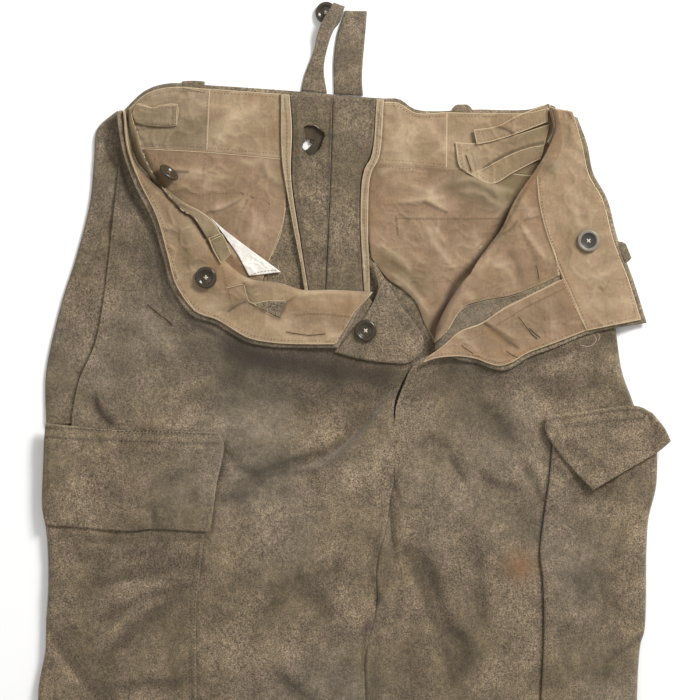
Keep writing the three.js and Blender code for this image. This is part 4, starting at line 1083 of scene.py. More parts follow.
# Dark stitched lines, dirt round the tear, a darker tone along the middle, and painted shade beside the raised edges of
# the tapes.
ALLOWANCE_SOIL_AND_SHADE = [([[331.4, 98], [329.6, 131], [328.4, 190], [326, 284]], 1.3, 0.7),
                  ([[294, 97], [296, 129], [296, 177], [304, 240], [312, 282]], 2.4, 0.55),
                  ([[372, 100], [369, 150], [361, 174], [357, 218], [361, 282]], 2.4, 0.5),
                  ([*TORN_ALLOWANCE, TORN_ALLOWANCE[0]], 1.6, 0.6), ([[333, 96], [328, 190], [332, 290]], 60.0, 0.17)]
cloth("allowance_right_cloth", [(patch(
    top=[[290, 95], [332.7, 97]], left=[[293, 129], [292, 177], [301, 240]], right=[[329.8, 190]],
    bottom=[[309, 292], [325, 292.4]], step=1.0), inside_level(OVER_LEVEL))],
    PRESSED_FELT, ["seam_allowance_right"], seed=21.0, soil=ALLOWANCE_SOIL_AND_SHADE, hole=TORN_ALLOWANCE,
    rests_on=["back_right_cloth"])
cloth("allowance_left_cloth", [(patch(
    top=[[333.3, 97], [376, 98]], left=[[330.4, 190]], right=[[370.6, 153], [362, 172], [359.4, 218]],
    bottom=[[325.6, 292.4], [363, 293.4]], step=1.8), inside_level(OVER_LEVEL))],
    PRESSED_FELT, ["seam_allowance_left"], seed=22.0, soil=ALLOWANCE_SOIL_AND_SHADE, rests_on=["back_left_cloth"])
# Under the tear: a dark sheet whose colour is partly its own and partly painted shade inside the hole.
cloth("torn_interlining_cloth", [(patch(
    top=[[300, 121], [327, 122]], bottom=[[300, 158], [325, 158]], step=0.8), flat_level(2.9))],
    INTERLINING, [], seed=25.0, hole=[[301.5, 146], [306, 139.5], [314, 140.5], [309, 147.5], [304.6, 150]],
    rests_on=["back_right_cloth"])
TAPE_SOIL = [([[284.4, 96], [286.6, 125], [286.9, 160], [290.3, 200], [297, 240], [305, 282]], 0.8, 0.35),
             ([[380.4, 102], [377.8, 128], [375.4, 157], [367.4, 176], [364, 214], [366.8, 260], [367, 282]], 0.8,
              0.35)]
cloth("binding_right_tape", [(patch(
    top=[[280.7, 94], [289.5, 94.5]], left=[[281.7, 159], [289.6, 208], [300, 262]],
    right=[[292, 129], [291, 177], [300, 240]], bottom=[[304.5, 291], [308.4, 292]], step=0.9),
    inside_level(OVER_LEVEL))], TAPE_CLOTH, ["seam_binding_right"], seed=23.0, soil=TAPE_SOIL, rim=0.8)
cloth("binding_left_tape", [(patch(
    top=[[376.5, 99], [384, 99.5]], left=[[371.6, 155], [363.4, 172], [360.4, 218]],
    right=[[379, 157], [371, 174], [368, 218]], bottom=[[364, 293], [370, 293]], step=0.9),
    inside_level(OVER_LEVEL))], TAPE_CLOTH, ["seam_binding_left"], seed=24.0, soil=TAPE_SOIL, rim=0.8)

# %% [markdown]
# ## Cotton on the turned-out fronts
#
# Facing, lining and fly placket cover the wool's inside and stop a few millimetres short of its edge, so that a
# rim of wool shows. Each follows its wool at one distance, round the rolled edge too.


# %% Facing of the right roll
ROLL_FOLDS = [
    ([[186, 262], [206, 262], [222, 268]], 4, 5, -0.8), ([[226, 310], [236, 304], [252, 302]], 3, 4, -1.0),
    ([[226, 288], [246, 281], [262, 276]], 4, 4, 0.9), ([[240, 276], [250, 300]], 3, 3, -0.8),
    ([[150, 196], [160, 220], [166, 246]], 5, 4, 0.6), ([[258, 316], [274, 326], [292, 326]], 5, 5, 0.7),
    ([[282, 300], [300, 296], [330, 290], [366, 294]], 5, 7, 1.1), ([[270, 320], [282, 304]], 4, 4, -0.9),
    ([[176, 236], [186, 252], [190, 272]], 4, 5, -0.5), ([[188, 286], [212, 292], [226, 290]], 4, 4, -0.6),
    ([[315, 300], [346, 304]], 5, 5, 0.5), ([[300, 322], [340, 324]], 4, 4, -0.4),
]
LAPEL_FOLDS = [
    ([[562, 183], [569, 193], [590, 206]], 4, 4, 0.7), ([[564, 150], [576, 161], [590, 171]], 4, 4, 0.7),
    ([[570, 196], [580, 226], [592, 230]], 5, 5, 0.6), ([[600, 206], [584, 224], [572, 224]], 4, 4, 0.5),
    ([[551, 222], [566, 232], [570, 262]], 4, 5, -0.5), ([[572, 262], [596, 276], [622, 264]], 5, 5, 0.7),
    ([[596, 252], [606, 262], [622, 256]], 4, 4, -0.6), ([[570, 300], [600, 306], [636, 298]], 6, 7, 0.6),
    ([[520, 222], [530, 240], [548, 262]], 3, 3, 1.0), ([[526, 240], [538, 266]], 3, 3, -0.8),
    ([[492, 262], [504, 268], [516, 286]], 4, 4, 0.9), ([[505, 248], [516, 262], [520, 284]], 3, 4, -0.9),
    ([[484, 322], [493.5, 331], [518, 348]], 2.5, 3.5, -1.5), ([[478, 320], [492, 326], [516, 340]], 3, 3, 1.0),
    ([[455, 334], [470, 345], [478, 352]], 4, 4, 0.9), ([[540, 300], [552, 318], [556, 338]], 5, 5, 0.6),
    ([[520, 196], [530, 214], [538, 218]], 4, 4, 0.7), ([[463, 292], [474, 300]], 4, 4, 0.7),
    ([[560, 126], [566, 140], [560, 158]], 5, 5, -0.5), ([[592, 236], [616, 232]], 4, 4, 0.6),
]
ROLL_FOLDS, LAPEL_FOLDS = drawn(ROLL_FOLDS), drawn(LAPEL_FOLDS)


def sum_of(folds, across, down):
    return sum(ridge_or_trough(*fold, across, down) for fold in folds)


def over(wool_height, folds):
    """Cotton over the turned-out wool, with folds of its own that never reach the wool."""
    return lambda across, down: wool_height(across, down) + COTTON_OVER + cotton_waves(across, down) + np.maximum(
        sum_of(folds, across, down), -0.5)


# This relief only paints: painted shade in the cotton's hollows and painted highlight on its ridges.
def relief_over(folds):
    return lambda across, down: 1.5 * (cotton_waves(across, down) - 0.42) + 2.6 * sum_of(folds, across, down)


over_right, over_lapel = over(turned_right_height, ROLL_FOLDS), over(lapel_height, LAPEL_FOLDS)
roll_relief, lapel_relief = relief_over(ROLL_FOLDS), relief_over(LAPEL_FOLDS)

# Dark stitched lines, and painted shade: in the valleys beside the standing strap and in the creases of the fly end.
ROLL_SOIL_AND_SHADE = [
    ([[131, 150], [141, 170], [152, 184], [162, 191], [174, 203], [190, 218], [203, 234], [216, 254]], 3.0, 0.75),
    ([[220.6, 266.7], [226, 285], [232, 311]], 0.9, 0.4), ([[226, 289], [243, 284.5], [246, 283]], 1.1, 0.7),
    ([[229, 311], [238, 305], [246, 302]], 1.4, 0.9), ([[244, 284], [251, 303]], 1.1, 0.7),
    ([[279, 318], [286, 304], [296, 297]], 2.0, 0.6), ([[296, 316], [312, 313.6], [353, 317.6]], 0.8, 0.4),
    ([[186, 262], [222, 268]], 2.2, 0.3), ([[250, 303], [265, 312], [279, 319]], 1.2, 0.6),
    ([[250, 286], [280, 282], [300, 292]], 8.0, 0.34), ([[190, 314], [196, 300]], 1.0, 0.3),
    ([[290, 300], [320, 294], [368, 292]], 5.0, 0.3), ([[286, 304], [284, 310], [279, 317]], 1.2, 0.7),
    ([[164, 193], [172, 200.5], [181.4, 212], [193.6, 219.6], [198.4, 227], [206, 238.6]], 1.5, 1.0),
]
cloth("roll_facing_cotton", [(patch(
    top=RIDGE_RIGHT, right=[[355, 312], [347, 325]], columns=290, rows=34,
    bottom=[[124, 113], [128, 150], [140.5, 184], [156.5, 216], [167.5, 255], [176.5, 286], [196, 312], [217, 320],
            [248, 338], [274, 343], [310, 344.5], [335, 344.5]],
    turn={"top": round_turn(RIDGE_LIFT_RIGHT + 2 * COTTON_OVER, 0.5, 5.5)}), over_right)],
    FACING, ["front_facing_right"], seed=31.0, soil=ROLL_SOIL_AND_SHADE, relief=roll_relief,
    rim=0.95, fade=[([[128, 122], [131, 142], [137, 166]], 6, 0.9), ([[150, 186], [166, 210], [190, 246]], 5, 0.3)],
    stain=[([[215, 262], [232, 290]], 10, 0.35), ([[300, 300], [350, 304]], 9, 0.3)])

# %% Lining, placket and facing of the left lapel
SEAM_LEFT = [[561, 150], [539.2, 186], [542.2, 207], [554.4, 249]]
# Dark stitched lines, a darker tone on the placket, and painted shade: in the deep crease, in the valley along the
# lapel's fold and beside the strap's end.
LAPEL_SOIL_AND_SHADE = [
    ([[484, 322], [493.5, 331], [518, 348]], 1.5, 0.9), ([[541, 164], [520, 198], [500, 234], [481, 256]], 2.0, 0.6),
    ([[536, 176], [537.4, 200], [542.4, 223], [550, 246], [559, 270], [571.6, 299], [585.4, 331]], 1.0, 0.6),
    ([[500, 236], [512, 228], [516, 222]], 1.2, 0.6), ([[524.5, 220], [538.6, 217]], 1.0, 0.6),
    ([[535.6, 266], [538.6, 280]], 1.1, 0.8), ([[519, 226], [530, 250], [537, 264]], 1.2, 0.35),
    ([[545, 168], [552, 170]], 5.0, 0.45), ([[460, 288], [450, 306], [440, 330]], 2.5, 0.5),
    ([[566, 112], [576, 119], [583, 146], [590, 174]], 2.0, 0.3), ([[575, 240], [582, 230], [588, 228]], 1.4, 0.35),
    ([[495, 326], [510, 317], [527, 306.5], [547, 297], [565, 288]], 0.8, 0.45),
    ([[470, 342], [500, 336], [530, 322], [566, 306]], 15.0, 0.3), ([[545, 150], [558, 130], [566, 116]], 8.0, 0.25),
    ([[572, 130], [590, 200], [612, 300]], 34.0, 0.12),
]
LAPEL_ORANGE = [([[500, 352], [520, 356], [540, 346]], 5, 0.4), ([[470, 350], [480, 354]], 5, 0.3),
                ([[530, 176], [528, 196]], 6, 0.4), ([[566, 282], [574, 300]], 8, 0.35),
                ([[488, 330], [500, 340]], 4, 0.45)]
# Olive tint, partly the cloth's own and partly painted shade beside the strap's end.
LAPEL_OLIVE_AND_SHADE = [([[500, 240], [510, 232]], 6, 0.5), ([[545, 160], [552, 172]], 6, 0.4),
               ([[574, 236], [590, 216]], 12, 0.22),
               ([[449, 330], [456, 316]], 5, 0.5)]
for name, node, kind, seed, outline in (
        ("lapel_lining_cotton", "front_lining_left", LINING_CLOTH, 32.0, dict(
            top=[RIDGE_LEFT[0], [557, 110]], left=RIDGE_LEFT[1:-1], right=SEAM_LEFT,
            bottom=[[434, 343], [446, 332], [462, 308], [481, 301], [512, 295], [538, 285], [559.6, 275]], columns=66,
            rows=176, turn={"left": round_turn(RIDGE_LIFT_LEFT + 2 * COTTON_OVER, 0.5, 5.4)})),
        ("fly_placket_cotton", "fly_placket_left", LINING_CLOTH, 33.0, dict(
            top=[[427, 357], [443, 345.6], [459, 331.6], [481, 323], [503, 309], [531, 295], [562.8, 279]],
            right=[[570, 295]],
            bottom=[[422, 363], [436, 358.4], [461, 356.6], [478, 359.6], [488, 363.6], [499, 366], [510, 363.4],
                    [527, 353.6], [556, 342.6], [587, 330.6]], step=1.2)),
        ("lapel_facing_cotton", "front_facing_left", FACING, 34.0, dict(
            top=[[556, 109], [572, 112]], left=[[559.3, 150], [537.3, 186], [540.3, 207], [551.8, 249], [566.3, 290]],
            right=[[582, 146], [588.5, 174], [602.5, 200], [613.5, 241], [628.5, 280]], bottom=[[586, 331], [641, 320]],
            step=1.3))):
    under = 0.25 if name == "lapel_facing_cotton" else 0.0
    cloth(name, [(patch(**outline), lambda across, down, under=under: over_lapel(across, down) - under)], kind, [node],
          seed=seed, soil=LAPEL_SOIL_AND_SHADE, fade=LAPEL_OLIVE_AND_SHADE, stain=LAPEL_ORANGE, relief=lapel_relief, rim=0.95)

# %% The wool that shows between the roll's lining and its fly facing
cloth("roll_gusset_cloth", [(patch(
    top=[[250, 302.5], [268, 301.5], [287, 301.5]], left=[[256, 305.5]], right=[[281.5, 310]],
    bottom=[[263, 309.6], [279.5, 318]], step=1.0), lambda across, down: over_right(across, down) + 1.0)],
    GUSSET_FELT, [], seed=35.0)

# %% [markdown]
# ## Underlap, thigh pockets, tabs and straps
#
# The remaining pieces are sewn onto the others. Each takes its height from what it lies on, one layer further up.


# %% Fly underlap
def on_front(layers, full=0.0):
    return lambda across, down: front_height(across, down) + layers * LAYER + full


cloth("fly_underlap_cloth", [(patch(
    top=[[372, 262], [375, 262.5]], left=[[378, 288], [366, 314], [350, 334]],
    right=[[386, 281], [400, 304], [412, 320], [423, 338]],
    bottom=[[334, 352], [351, 357], [371, 361], [391, 363], [408, 363], [422, 352]], step=1.8), on_front(1, 0.3))],
    FELT, ["fly_underlap"], seed=41.0)

# %% Thigh pockets and flaps
POCKET_TURN = [(inset, drop * 1.3) for inset, drop in SIDE_TURN]
# The pockets' and flaps' soil marks are partly stitched lines and partly painted shade in creases and under the flaps;
# the flap's lit mark is painted highlight.
cloth("thigh_pocket_right_cloth", [(patch(
    top=[[44.5, 440], [207, 442]],
    left=[[42.5, 476], [42, 508], [46, 530], [48, 560], [48, 592], [46, 622], [45, 652], [39, 684], [38, 700]],
    right=[[209, 500], [203, 546], [200, 572], [196, 604], [197, 700]], bottom=[[39, 722], [197, 722]], step=2.2,
    turn={"left": POCKET_TURN}), on_front(1, 0.7))],
    FELT, ["cargo_pocket_right"], seed=42.0, relief=relief_of_wool,
    soil=[([[199, 536], [196, 575], [192.6, 604], [192.6, 718]], 1.0, 0.55),
          ([[60, 536], [130, 540], [204, 538]], 4.0, 0.4),
          ([[50, 625], [57, 645], [77, 673], [93, 694], [104, 712]], 1.6, 0.75),
          ([[80, 598], [127, 590], [168, 574], [196, 572]], 3.0, 0.3),
          ([[90, 640], [132, 610], [178, 592]], 3.5, 0.3), ([[104, 657], [136, 632], [178, 600]], 2.5, 0.3),
          ([[90, 699], [132, 687], [190, 682]], 4.0, 0.3)])
cloth("thigh_flap_right_cloth", [(patch(
    top=[[46, 423], [116, 430], [218, 432]], left=[[44.5, 441], [43.5, 476], [43.5, 508]],
    right=[[224, 443], [217, 483], [210, 527]], bottom=[[46, 525], [65, 526], [129, 531], [152, 529], [207, 532]],
    step=2.0), on_front(2, 0.7))], FELT, ["cargo_flap_right"], seed=43.0, relief=relief_of_wool, rim=0.5,
    lit=[([[60, 470], [130, 482], [200, 476]], 34.0, 0.32)],
    soil=[([[47, 427.4], [116, 431.6], [217, 434]], 0.9, 0.55), ([[46, 436.6], [116, 440.6], [219, 443]], 1.1, 0.6),
          ([[49, 446], [48, 486], [49, 520]], 1.0, 0.4),
          ([[66, 521], [128, 526], [152, 524.6], [204, 527.6]], 0.8, 0.35)])
cloth("thigh_pocket_left_cloth", [(patch(
    top=[[553, 440], [654, 432]], left=[[549, 482], [544, 517], [540, 553], [543, 581], [544, 638], [541, 700]],
    right=[[657, 453], [656, 487], [648.5, 519], [646.5, 551], [644.5, 631], [640.5, 645], [637, 700]],
    bottom=[[541, 722], [637, 722]], step=2.2, turn={"right": POCKET_TURN}), on_front(1, 0.7))],
    FELT, ["cargo_pocket_left"], seed=44.0, relief=relief_of_wool,
    soil=[([[606, 662], [626, 648], [646, 632]], 1.2, 0.4),
          ([[560, 470], [592, 496], [624, 480], [652, 462]], 5.0, 0.45)])


def flap_left_height(across, down):
    return on_front(2, 0.7)(across, down) + 4.5 * between(455, 490, down) + 3.5 * between(640, 668, across)


cloth("thigh_flap_left_cloth", [(patch(
    top=[[545, 416], [579, 412], [637, 406], [652, 413]], left=[[545, 431], [553, 445], [568, 464]],
    right=[[664, 428]], bottom=[[592, 490], [621, 473], [657, 452], [670, 441]], step=1.8), flap_left_height)],
    FELT, ["cargo_flap_left"], seed=45.0, rim=0.5,
    soil=[([[546, 420.4], [580, 415.6], [637, 409.8], [650, 416]], 1.0, 0.6),
          ([[572, 427], [606, 421.4], [642, 418]], 1.6, 0.5),
          ([[650, 418], [656, 430], [654, 448]], 3.0, 0.5)])

# %% Tabs at the centre back
cloth("centre_tab_left_cloth", [(patch(
    top=[[345, 10], [367, 10.5]], left=[[341, 22], [337, 35], [333.6, 60]], right=[[366, 25], [362, 76]],
    bottom=[[334, 93.6], [363, 95.2]], step=1.6), flat_level(BACK_LEVEL + 0.1))],
    FELT, ["back_tab_left"], seed=46.0)


def tab_right_height(across, down):
    return BACK_LEVEL + 0.1 + 10.6 * (1 - between(6, 66, down))


cloth("centre_tab_right_cloth", [(patch(
    top=[[334, 3], [345, 7]], left=[[322, 22], [317, 35], [314, 49], [304, 76]],
    right=[[340, 22], [334, 30], [329, 42], [324, 64], [324, 74]], bottom=[[301, 90.4], [327, 92.8]], step=1.4),
    tab_right_height)], FELT, ["back_tab_right"], seed=47.0)

# %% The right waist adjuster
STRAP_EDGE = [[131.4, 110], [132, 118], [135, 127], [138.4, 135], [140.8, 146], [144.8, 157.5], [150, 168],
              [155.4, 178],
              [162.8, 188], [167, 193]]
STRAP_INNER = [[128, 111], [129.6, 130], [133, 150], [137.4, 160.5], [147.6, 173.4], [160.4, 185.4], [165, 192]]
LOW_STRAP_EDGE = [[163.5, 189.4], [166, 192.4], [173, 199], [182.7, 210.5], [195, 218], [199.7, 225.6], [207, 237]]
LOW_STRAP_INNER = [[166, 188.6], [175.5, 197], [187.6, 205], [199.7, 211], [214, 222], [221.5, 234.6]]
STRAP_EDGE_LINE = smooth_line(STRAP_EDGE, 5)
STRAP_SOIL = [([[173, 105], [172.8, 124]], 0.9, 0.6), ([[143, 124], [168, 125.4], [176, 124.6]], 1.4, 0.7),
              ([[157, 108], [164, 120]], 2.0, 0.3), ([[146, 106], [142, 120]], 2.5, 0.3), ([[169.6, 123.6]], 1.6, 0.6)]


def standing_strap(across, down):
    """The strap stands on its edge: high along its outer edge and falling off inwards."""
    away = np.abs(beside(STRAP_EDGE_LINE, across, down)[0])
    return OVER_LEVEL + 1.2 + 5.2 * between(112, 150, down) * (1 - between(0, 9, away)) + 3.0 * between(205, 232, down)


def level_on_roll(across, down):
    return over_right(across, down) + 1.6


def low_strap_level(across, down):
    """From the standing part, over the rolled edge, to the strap's sewn end."""
    return standing_strap(across, down) + (level_on_roll(across, down) - standing_strap(across, down)) * between(
        187, 196, down)


cloth("adjuster_right_cloth", [(patch(
    top=[[136.6, 103.2], [155, 107.6], [159, 105.4], [177.6, 104.2]], left=[[132.4, 112]],
    bottom=[[134.6, 122], [145, 125], [168, 126.6], [176.8, 125.4]], step=1.1), inside_level(OVER_LEVEL + 0.4))],
    OLIVE_STRAP, ["waist_strap_right"], seed=51.0, soil=STRAP_SOIL, rim=0.9, relief=shaded_relief,
    fade=[([[140, 108], [160, 112]], 9, 0.35)])
cloth("adjuster_right_free_cloth", [(patch(
    top=[STRAP_INNER[0], STRAP_EDGE[0]], left=STRAP_INNER[1:-1], right=STRAP_EDGE[1:-1],
    bottom=[STRAP_INNER[-1], STRAP_EDGE[-1]], step=1.2, columns=10), standing_strap),
    (patch(top=[LOW_STRAP_EDGE[0], LOW_STRAP_INNER[0]], left=LOW_STRAP_EDGE[1:-1], right=LOW_STRAP_INNER[1:-1],
           bottom=[LOW_STRAP_EDGE[-1], LOW_STRAP_INNER[-1]], step=1.2, columns=10), low_strap_level)],
    OLIVE_STRAP, ["waist_strap_right_free"], seed=52.0, rim=0.9, held="folded",
    # Painted shade in the valley beside the standing strap; its olive tint is partly painted shade too.
    soil=[(STRAP_INNER, 2.2, 0.85), ([[131, 128], [136, 146], [148, 168]], 2.6, 0.45)],
    fade=[([[130, 114], [137, 146], [160, 184], [200, 220]], 8, 0.55)])
cloth("adjuster_right_end_cloth", [(patch(
    top=[[208.6, 238.6], [221.6, 233.6]], bottom=[[221.4, 264.6], [231.4, 254.4]], left=[[214, 252]],
    right=[[227, 243]],
    step=1.1), level_on_roll)],
    OLIVE_STRAP, [], seed=58.0, rim=0.9, soil=[([[209.6, 241.4], [221.4, 235.6]], 1.0, 0.8),
    ([[212, 244], [220.8, 261]], 1.0, 0.6)], fade=[([[216, 244], [226, 258]], 8, 0.3)])

# %% The left waist adjuster
# Dark stitched lines, and painted shade: under the loop, in the strap's crease and in the gap between the two straps.
LEFT_STRAP_SOIL_AND_SHADE = [
    ([[484, 168], [508, 153.6], [528, 146.2], [546, 142]], 2.0, 0.95), ([[459, 144], [463, 164]], 0.9, 0.5),
    ([[500, 146], [530, 134], [550, 124]], 7, 0.35), ([[496, 126], [506, 129.5], [514, 134]], 1.8, 0.9),
    ([[466, 156], [471, 171.7]], 1.6, 0.75), ([[465, 151], [470, 150], [474, 160], [476, 171]], 1.0, 0.5),
    ([[548, 104], [551, 114], [552, 130]], 3.0, 0.7),
]
cloth("adjuster_left_lower_cloth", [(patch(
    top=[[455, 142.4], [475, 142.8], [500, 139], [550, 124]], left=[[457, 156]],
    bottom=[[459.6, 167], [471, 174.6], [492, 184], [513, 173], [541, 158.6]], step=1.1),
    inside_level(OVER_LEVEL, lambda across, down: 1.6 * between(0, 10, down - 137) * between(528, 548, across)))],
    KHAKI_STRAP, ["waist_strap_left_lower"], seed=54.0, soil=LEFT_STRAP_SOIL_AND_SHADE, rim=0.9,
    relief=shaded_relief, fade=[([[494, 172], [520, 160], [546, 146]], 9, 0.5), ([[516, 140], [548, 130]], 8, 0.7)])
cloth("adjuster_left_upper_cloth", [(patch(
    top=[[473.6, 129.6], [497.8, 125.8], [517, 115.6], [548, 103.6]],
    bottom=[[476.7, 144.6], [494, 141], [514, 134.7], [548, 121.6]],
    step=1.1), inside_level(OVER_LEVEL + 1.6))], KHAKI_STRAP, ["waist_strap_left_upper"],
    seed=53.0, soil=LEFT_STRAP_SOIL_AND_SHADE, rim=0.9, relief=shaded_relief)
cloth("adjuster_left_loop_cloth", [(patch(
    top=[[547.6, 103.6], [549.6, 103.6]], left=[[550.4, 114], [553, 128]], right=[[552.4, 113.4], [555, 128]],
    bottom=[[547, 142.4], [550, 144]], step=1.0), flat_level(OVER_LEVEL + 2.4))],
    STRAP_LOOP, ["strap_loop_left"], seed=55.0, rim=0.8)

# %% Belt loops and the label
LOOPS = {
    "belt_loop_right_back": ([[182, 80.6], [193, 80.2], [204.4, 81]], [[182, 88.5], [204.4, 89]], BACK_LEVEL + 0.1),
    "belt_loop_left_back": ([[452.6, 108], [456, 104.6], [462, 104], [468, 104.4], [472, 108]],
                            [[452.6, 113], [472, 113]],
                            BACK_LEVEL + 0.1),
    "belt_loop_left_side": ([[616, 243], [621, 241.6], [626, 244]], [[625, 262.6], [628, 261.6], [631.6, 258]], 6.6),
}
for node, (top, bottom, level) in LOOPS.items():
    cloth(node + "_cloth", [(patch(top=top, bottom=bottom, step=0.9), flat_level(level))], LOOP_FELT, [node], seed=56.0)
cloth("care_label_cloth", [(patch(
    top=[[209, 216], [226, 231], [281, 272]], bottom=[[216, 224], [237, 254], [249, 276]], step=1.1),
    inside_level(OVER_LEVEL - 0.4))], LABEL_CLOTH, ["care_label"], seed=57.0,
    soil=[([[247, 277], [258, 272.6], [276, 270]], 0.8, 0.3), ([[222, 236], [234, 258]], 3.0, 0.25)])

# %% [markdown]
# ## Sewing
#
# Rows of stitches hold every facing, tape and pocket, and turned edges show as thin pale cords. A bump pattern
# would need one pattern for every row, so the stitches are real: short bevelled curves. Each row is drawn on the
# sheet and dropped from above onto whatever cloth lies there.

# %% Drop a line onto the cloth below it
cloth_points, cloth_faces, half_walls = [], [], []
for piece in made.values():
    first = len(cloth_points)
    cloth_points += [vert.co.copy() for vert in piece.data.vertices]
    cloth_faces += [[first + index for index in face.vertices] for face in piece.data.polygons]
    half_walls += [piece.modifiers["wall"].thickness / 2] * len(piece.data.polygons)
cloth_tops = BVHTree.FromPolygons(cloth_points, cloth_faces)
print("cloth faces to sew on:", len(cloth_faces))


def dropped(across, down, lift):
    """Where a line that falls from above meets the cloth, so many mm above its wall."""
    place, normal, face, _ = cloth_tops.ray_cast(Vector(to_metres(across, down, 200.0)), Vector((0, 0, -1)))
    if place is None:
        return None
    return place + (normal if normal.z > 0 else -normal) * (half_walls[face] + lift / 1000)


def thread_piece(name, runs, radius, finish):
    """One mesh of many thin round threads, each a run of places in metres."""
    line = bpy.data.curves.new(name + "_line", "CURVE")
    line.dimensions = "3D"
    line.bevel_depth, line.bevel_resolution, line.use_fill_caps = radius / 1000, 1, True
    for places in runs:
        spline = line.splines.new("POLY")
        spline.points.add(len(places) - 1)
        for point, place in zip(spline.points, places):
            point.co = (*place, 1)
    holder = bpy.data.objects.new(name + "_line", line)
    mesh = bpy.data.meshes.new_from_object(holder)
    mesh.name = name
    mesh.materials.clear()
    for face in mesh.polygons:
        face.use_smooth = True
    bpy.data.objects.remove(holder)
    bpy.data.curves.remove(line)
    piece = bpy.data.objects.new(name, mesh)
    bpy.context.scene.collection.objects.link(piece)
    finish_piece(piece, finish)
    print(f"{name}: {len(runs)} threads, {len(mesh.polygons)} faces")


STEP_UP = 0.0022  # metres; a row that climbs more than this between two points is broken there
PULLED_IN = 0.0004


def sew(name, rows, finish, radius=0.3, stitch=2.0, space=1.1, lift=0.05):
    """Stitches along each row; a stitch of None is one unbroken cord."""
    runs = []
    for row in rows:
        path = smooth_line(row, 8)
        length = length_of(path)
        spans = [(0, length)] if stitch is None else [
            (start, start + stitch) for start in np.arange(0.3, length - stitch, stitch + space)]
        for start, end in spans:
            shares = np.linspace(start, end, max(3, round((end - start) / 1.1))) / length
            run = []
            for point in along(path, shares):
                place = dropped(*point, lift)
                if place is None or (run and abs(place.z - run[-1].z) > STEP_UP):
                    if len(run) > 2:
                        runs.append(run)
                    run = []
                if place is not None:
                    run.append(place)
            if len(run) > 2:
                if stitch is not None:
                    run[0].z -= PULLED_IN
                    run[-1].z -= PULLED_IN
                runs.append(run)
    thread_piece(name, runs, radius, finish)


def parallel(row, away):
    """The same row, moved sideways by so many millimetres."""
    line = smooth_line(row, 3)
    way = np.gradient(line, axis=0)
    way /= np.linalg.norm(way, axis=1)[:, None]
    return line + away / (SQUARE * 1000) * np.column_stack([-way[:, 1], way[:, 0]])


# %% Rows on the cotton
LAPEL_SEAM = [[536.7, 177], [538.6, 200], [543.7, 223], [551.3, 246], [560, 270], [573, 299], [586.8, 331]]
COTTON_ROWS = [
    [[130, 112], [146, 98], [168, 91.2], [208, 92]], [[213, 92], [284, 97.4]],
    [[386, 105.4], [397.5, 106], [415, 115.6], [446, 115.6]], [[450, 115.8], [472, 116], [500, 116]],
    [[208.4, 92], [206, 118], [204.8, 147]], [[144, 143.6], [205, 147.2]], [[210, 147.8], [281, 154]],
    [[204.4, 153], [202.6, 174]], [[381, 159.4], [416, 161.8], [446, 164.6]], [[374, 166.4], [416, 169], [452, 172.4]],
    [[174, 189], [189, 192], [201, 194], [242, 193], [255, 197.6], [269, 203], [264, 217]],
    [[396, 216], [398, 235]], [[398, 218], [440, 219.6], [470, 219], [504, 218]], [[411, 281], [434, 282], [456, 280]],
    [[132, 120], [131.7, 147], [143.4, 181], [159.5, 213], [170.4, 252.6], [179.6, 283], [198, 308.4], [218.4, 316.4],
     [249.4, 334.4], [275, 339.6], [310, 341], [333, 341]],
    [[338, 339], [349.6, 322], [356.6, 309], [370.6, 294]], [[296, 315.7], [311.6, 313.4], [353, 317]],
    [[222.4, 267], [228, 286], [233, 308]], [[495, 326], [510, 317], [527, 306.5], [547, 297], [565, 288]],
    [[469, 340], [487, 331]], parallel(LAPEL_SEAM, -1.8), parallel(LAPEL_SEAM, 1.5),
    [[569, 114.6], [577, 131], [584.4, 158], [590.6, 177], [600.4, 198], [607.4, 215], [612.4, 237], [620, 259],
     [626.6, 281], [635.4, 316]],
    [[590, 327.2], [613, 322], [637, 316.8]],
    [[430, 357], [440, 354.4], [461, 353], [478, 356], [488, 360], [499, 362.4], [509, 360], [526, 350.4], [555, 339.4],
     [583, 327.8]],
    [[462, 304.6], [481, 298], [512, 291.6], [538, 282], [556, 272.6]],
    [[474, 320], [496, 310], [520, 297.6], [550, 285]],
    [[284.4, 97], [286.6, 125], [286.9, 160], [290.3, 200], [297, 240], [304.6, 280]],
    [[380.4, 103], [377.8, 128], [375.4, 157], [367.4, 176], [364, 214], [366.8, 260], [367.4, 280]],
    [[137.6, 107], [155, 110.6], [160, 108.4], [171, 107.6]], [[173.4, 106], [173.2, 123.4]],
    [[144, 122.4], [158, 123.6], [171, 124]], [[176, 106.4], [175.4, 123.6]],
    [[477.6, 132], [498.6, 128.4], [517.6, 118.4], [546, 107]], [[480, 141.6], [494, 138.4], [513, 132], [546, 119]],
    [[477, 132.6], [479.6, 142.4]], [[482.4, 131.6], [485, 140.6]],
    [[458, 145.6], [462.4, 165.4], [472, 172]], [[476, 173.6], [492, 180.6], [512, 170.4], [539, 156.8]],
    [[211.6, 243.6], [222, 239]], [[213.4, 246], [222, 260.6]], [[224, 241], [229, 252]],
    [[247.4, 276.8], [258, 272.4], [276.6, 270]],
]
sew("cotton_stitches", COTTON_ROWS, BROWN_THREAD, radius=0.3)

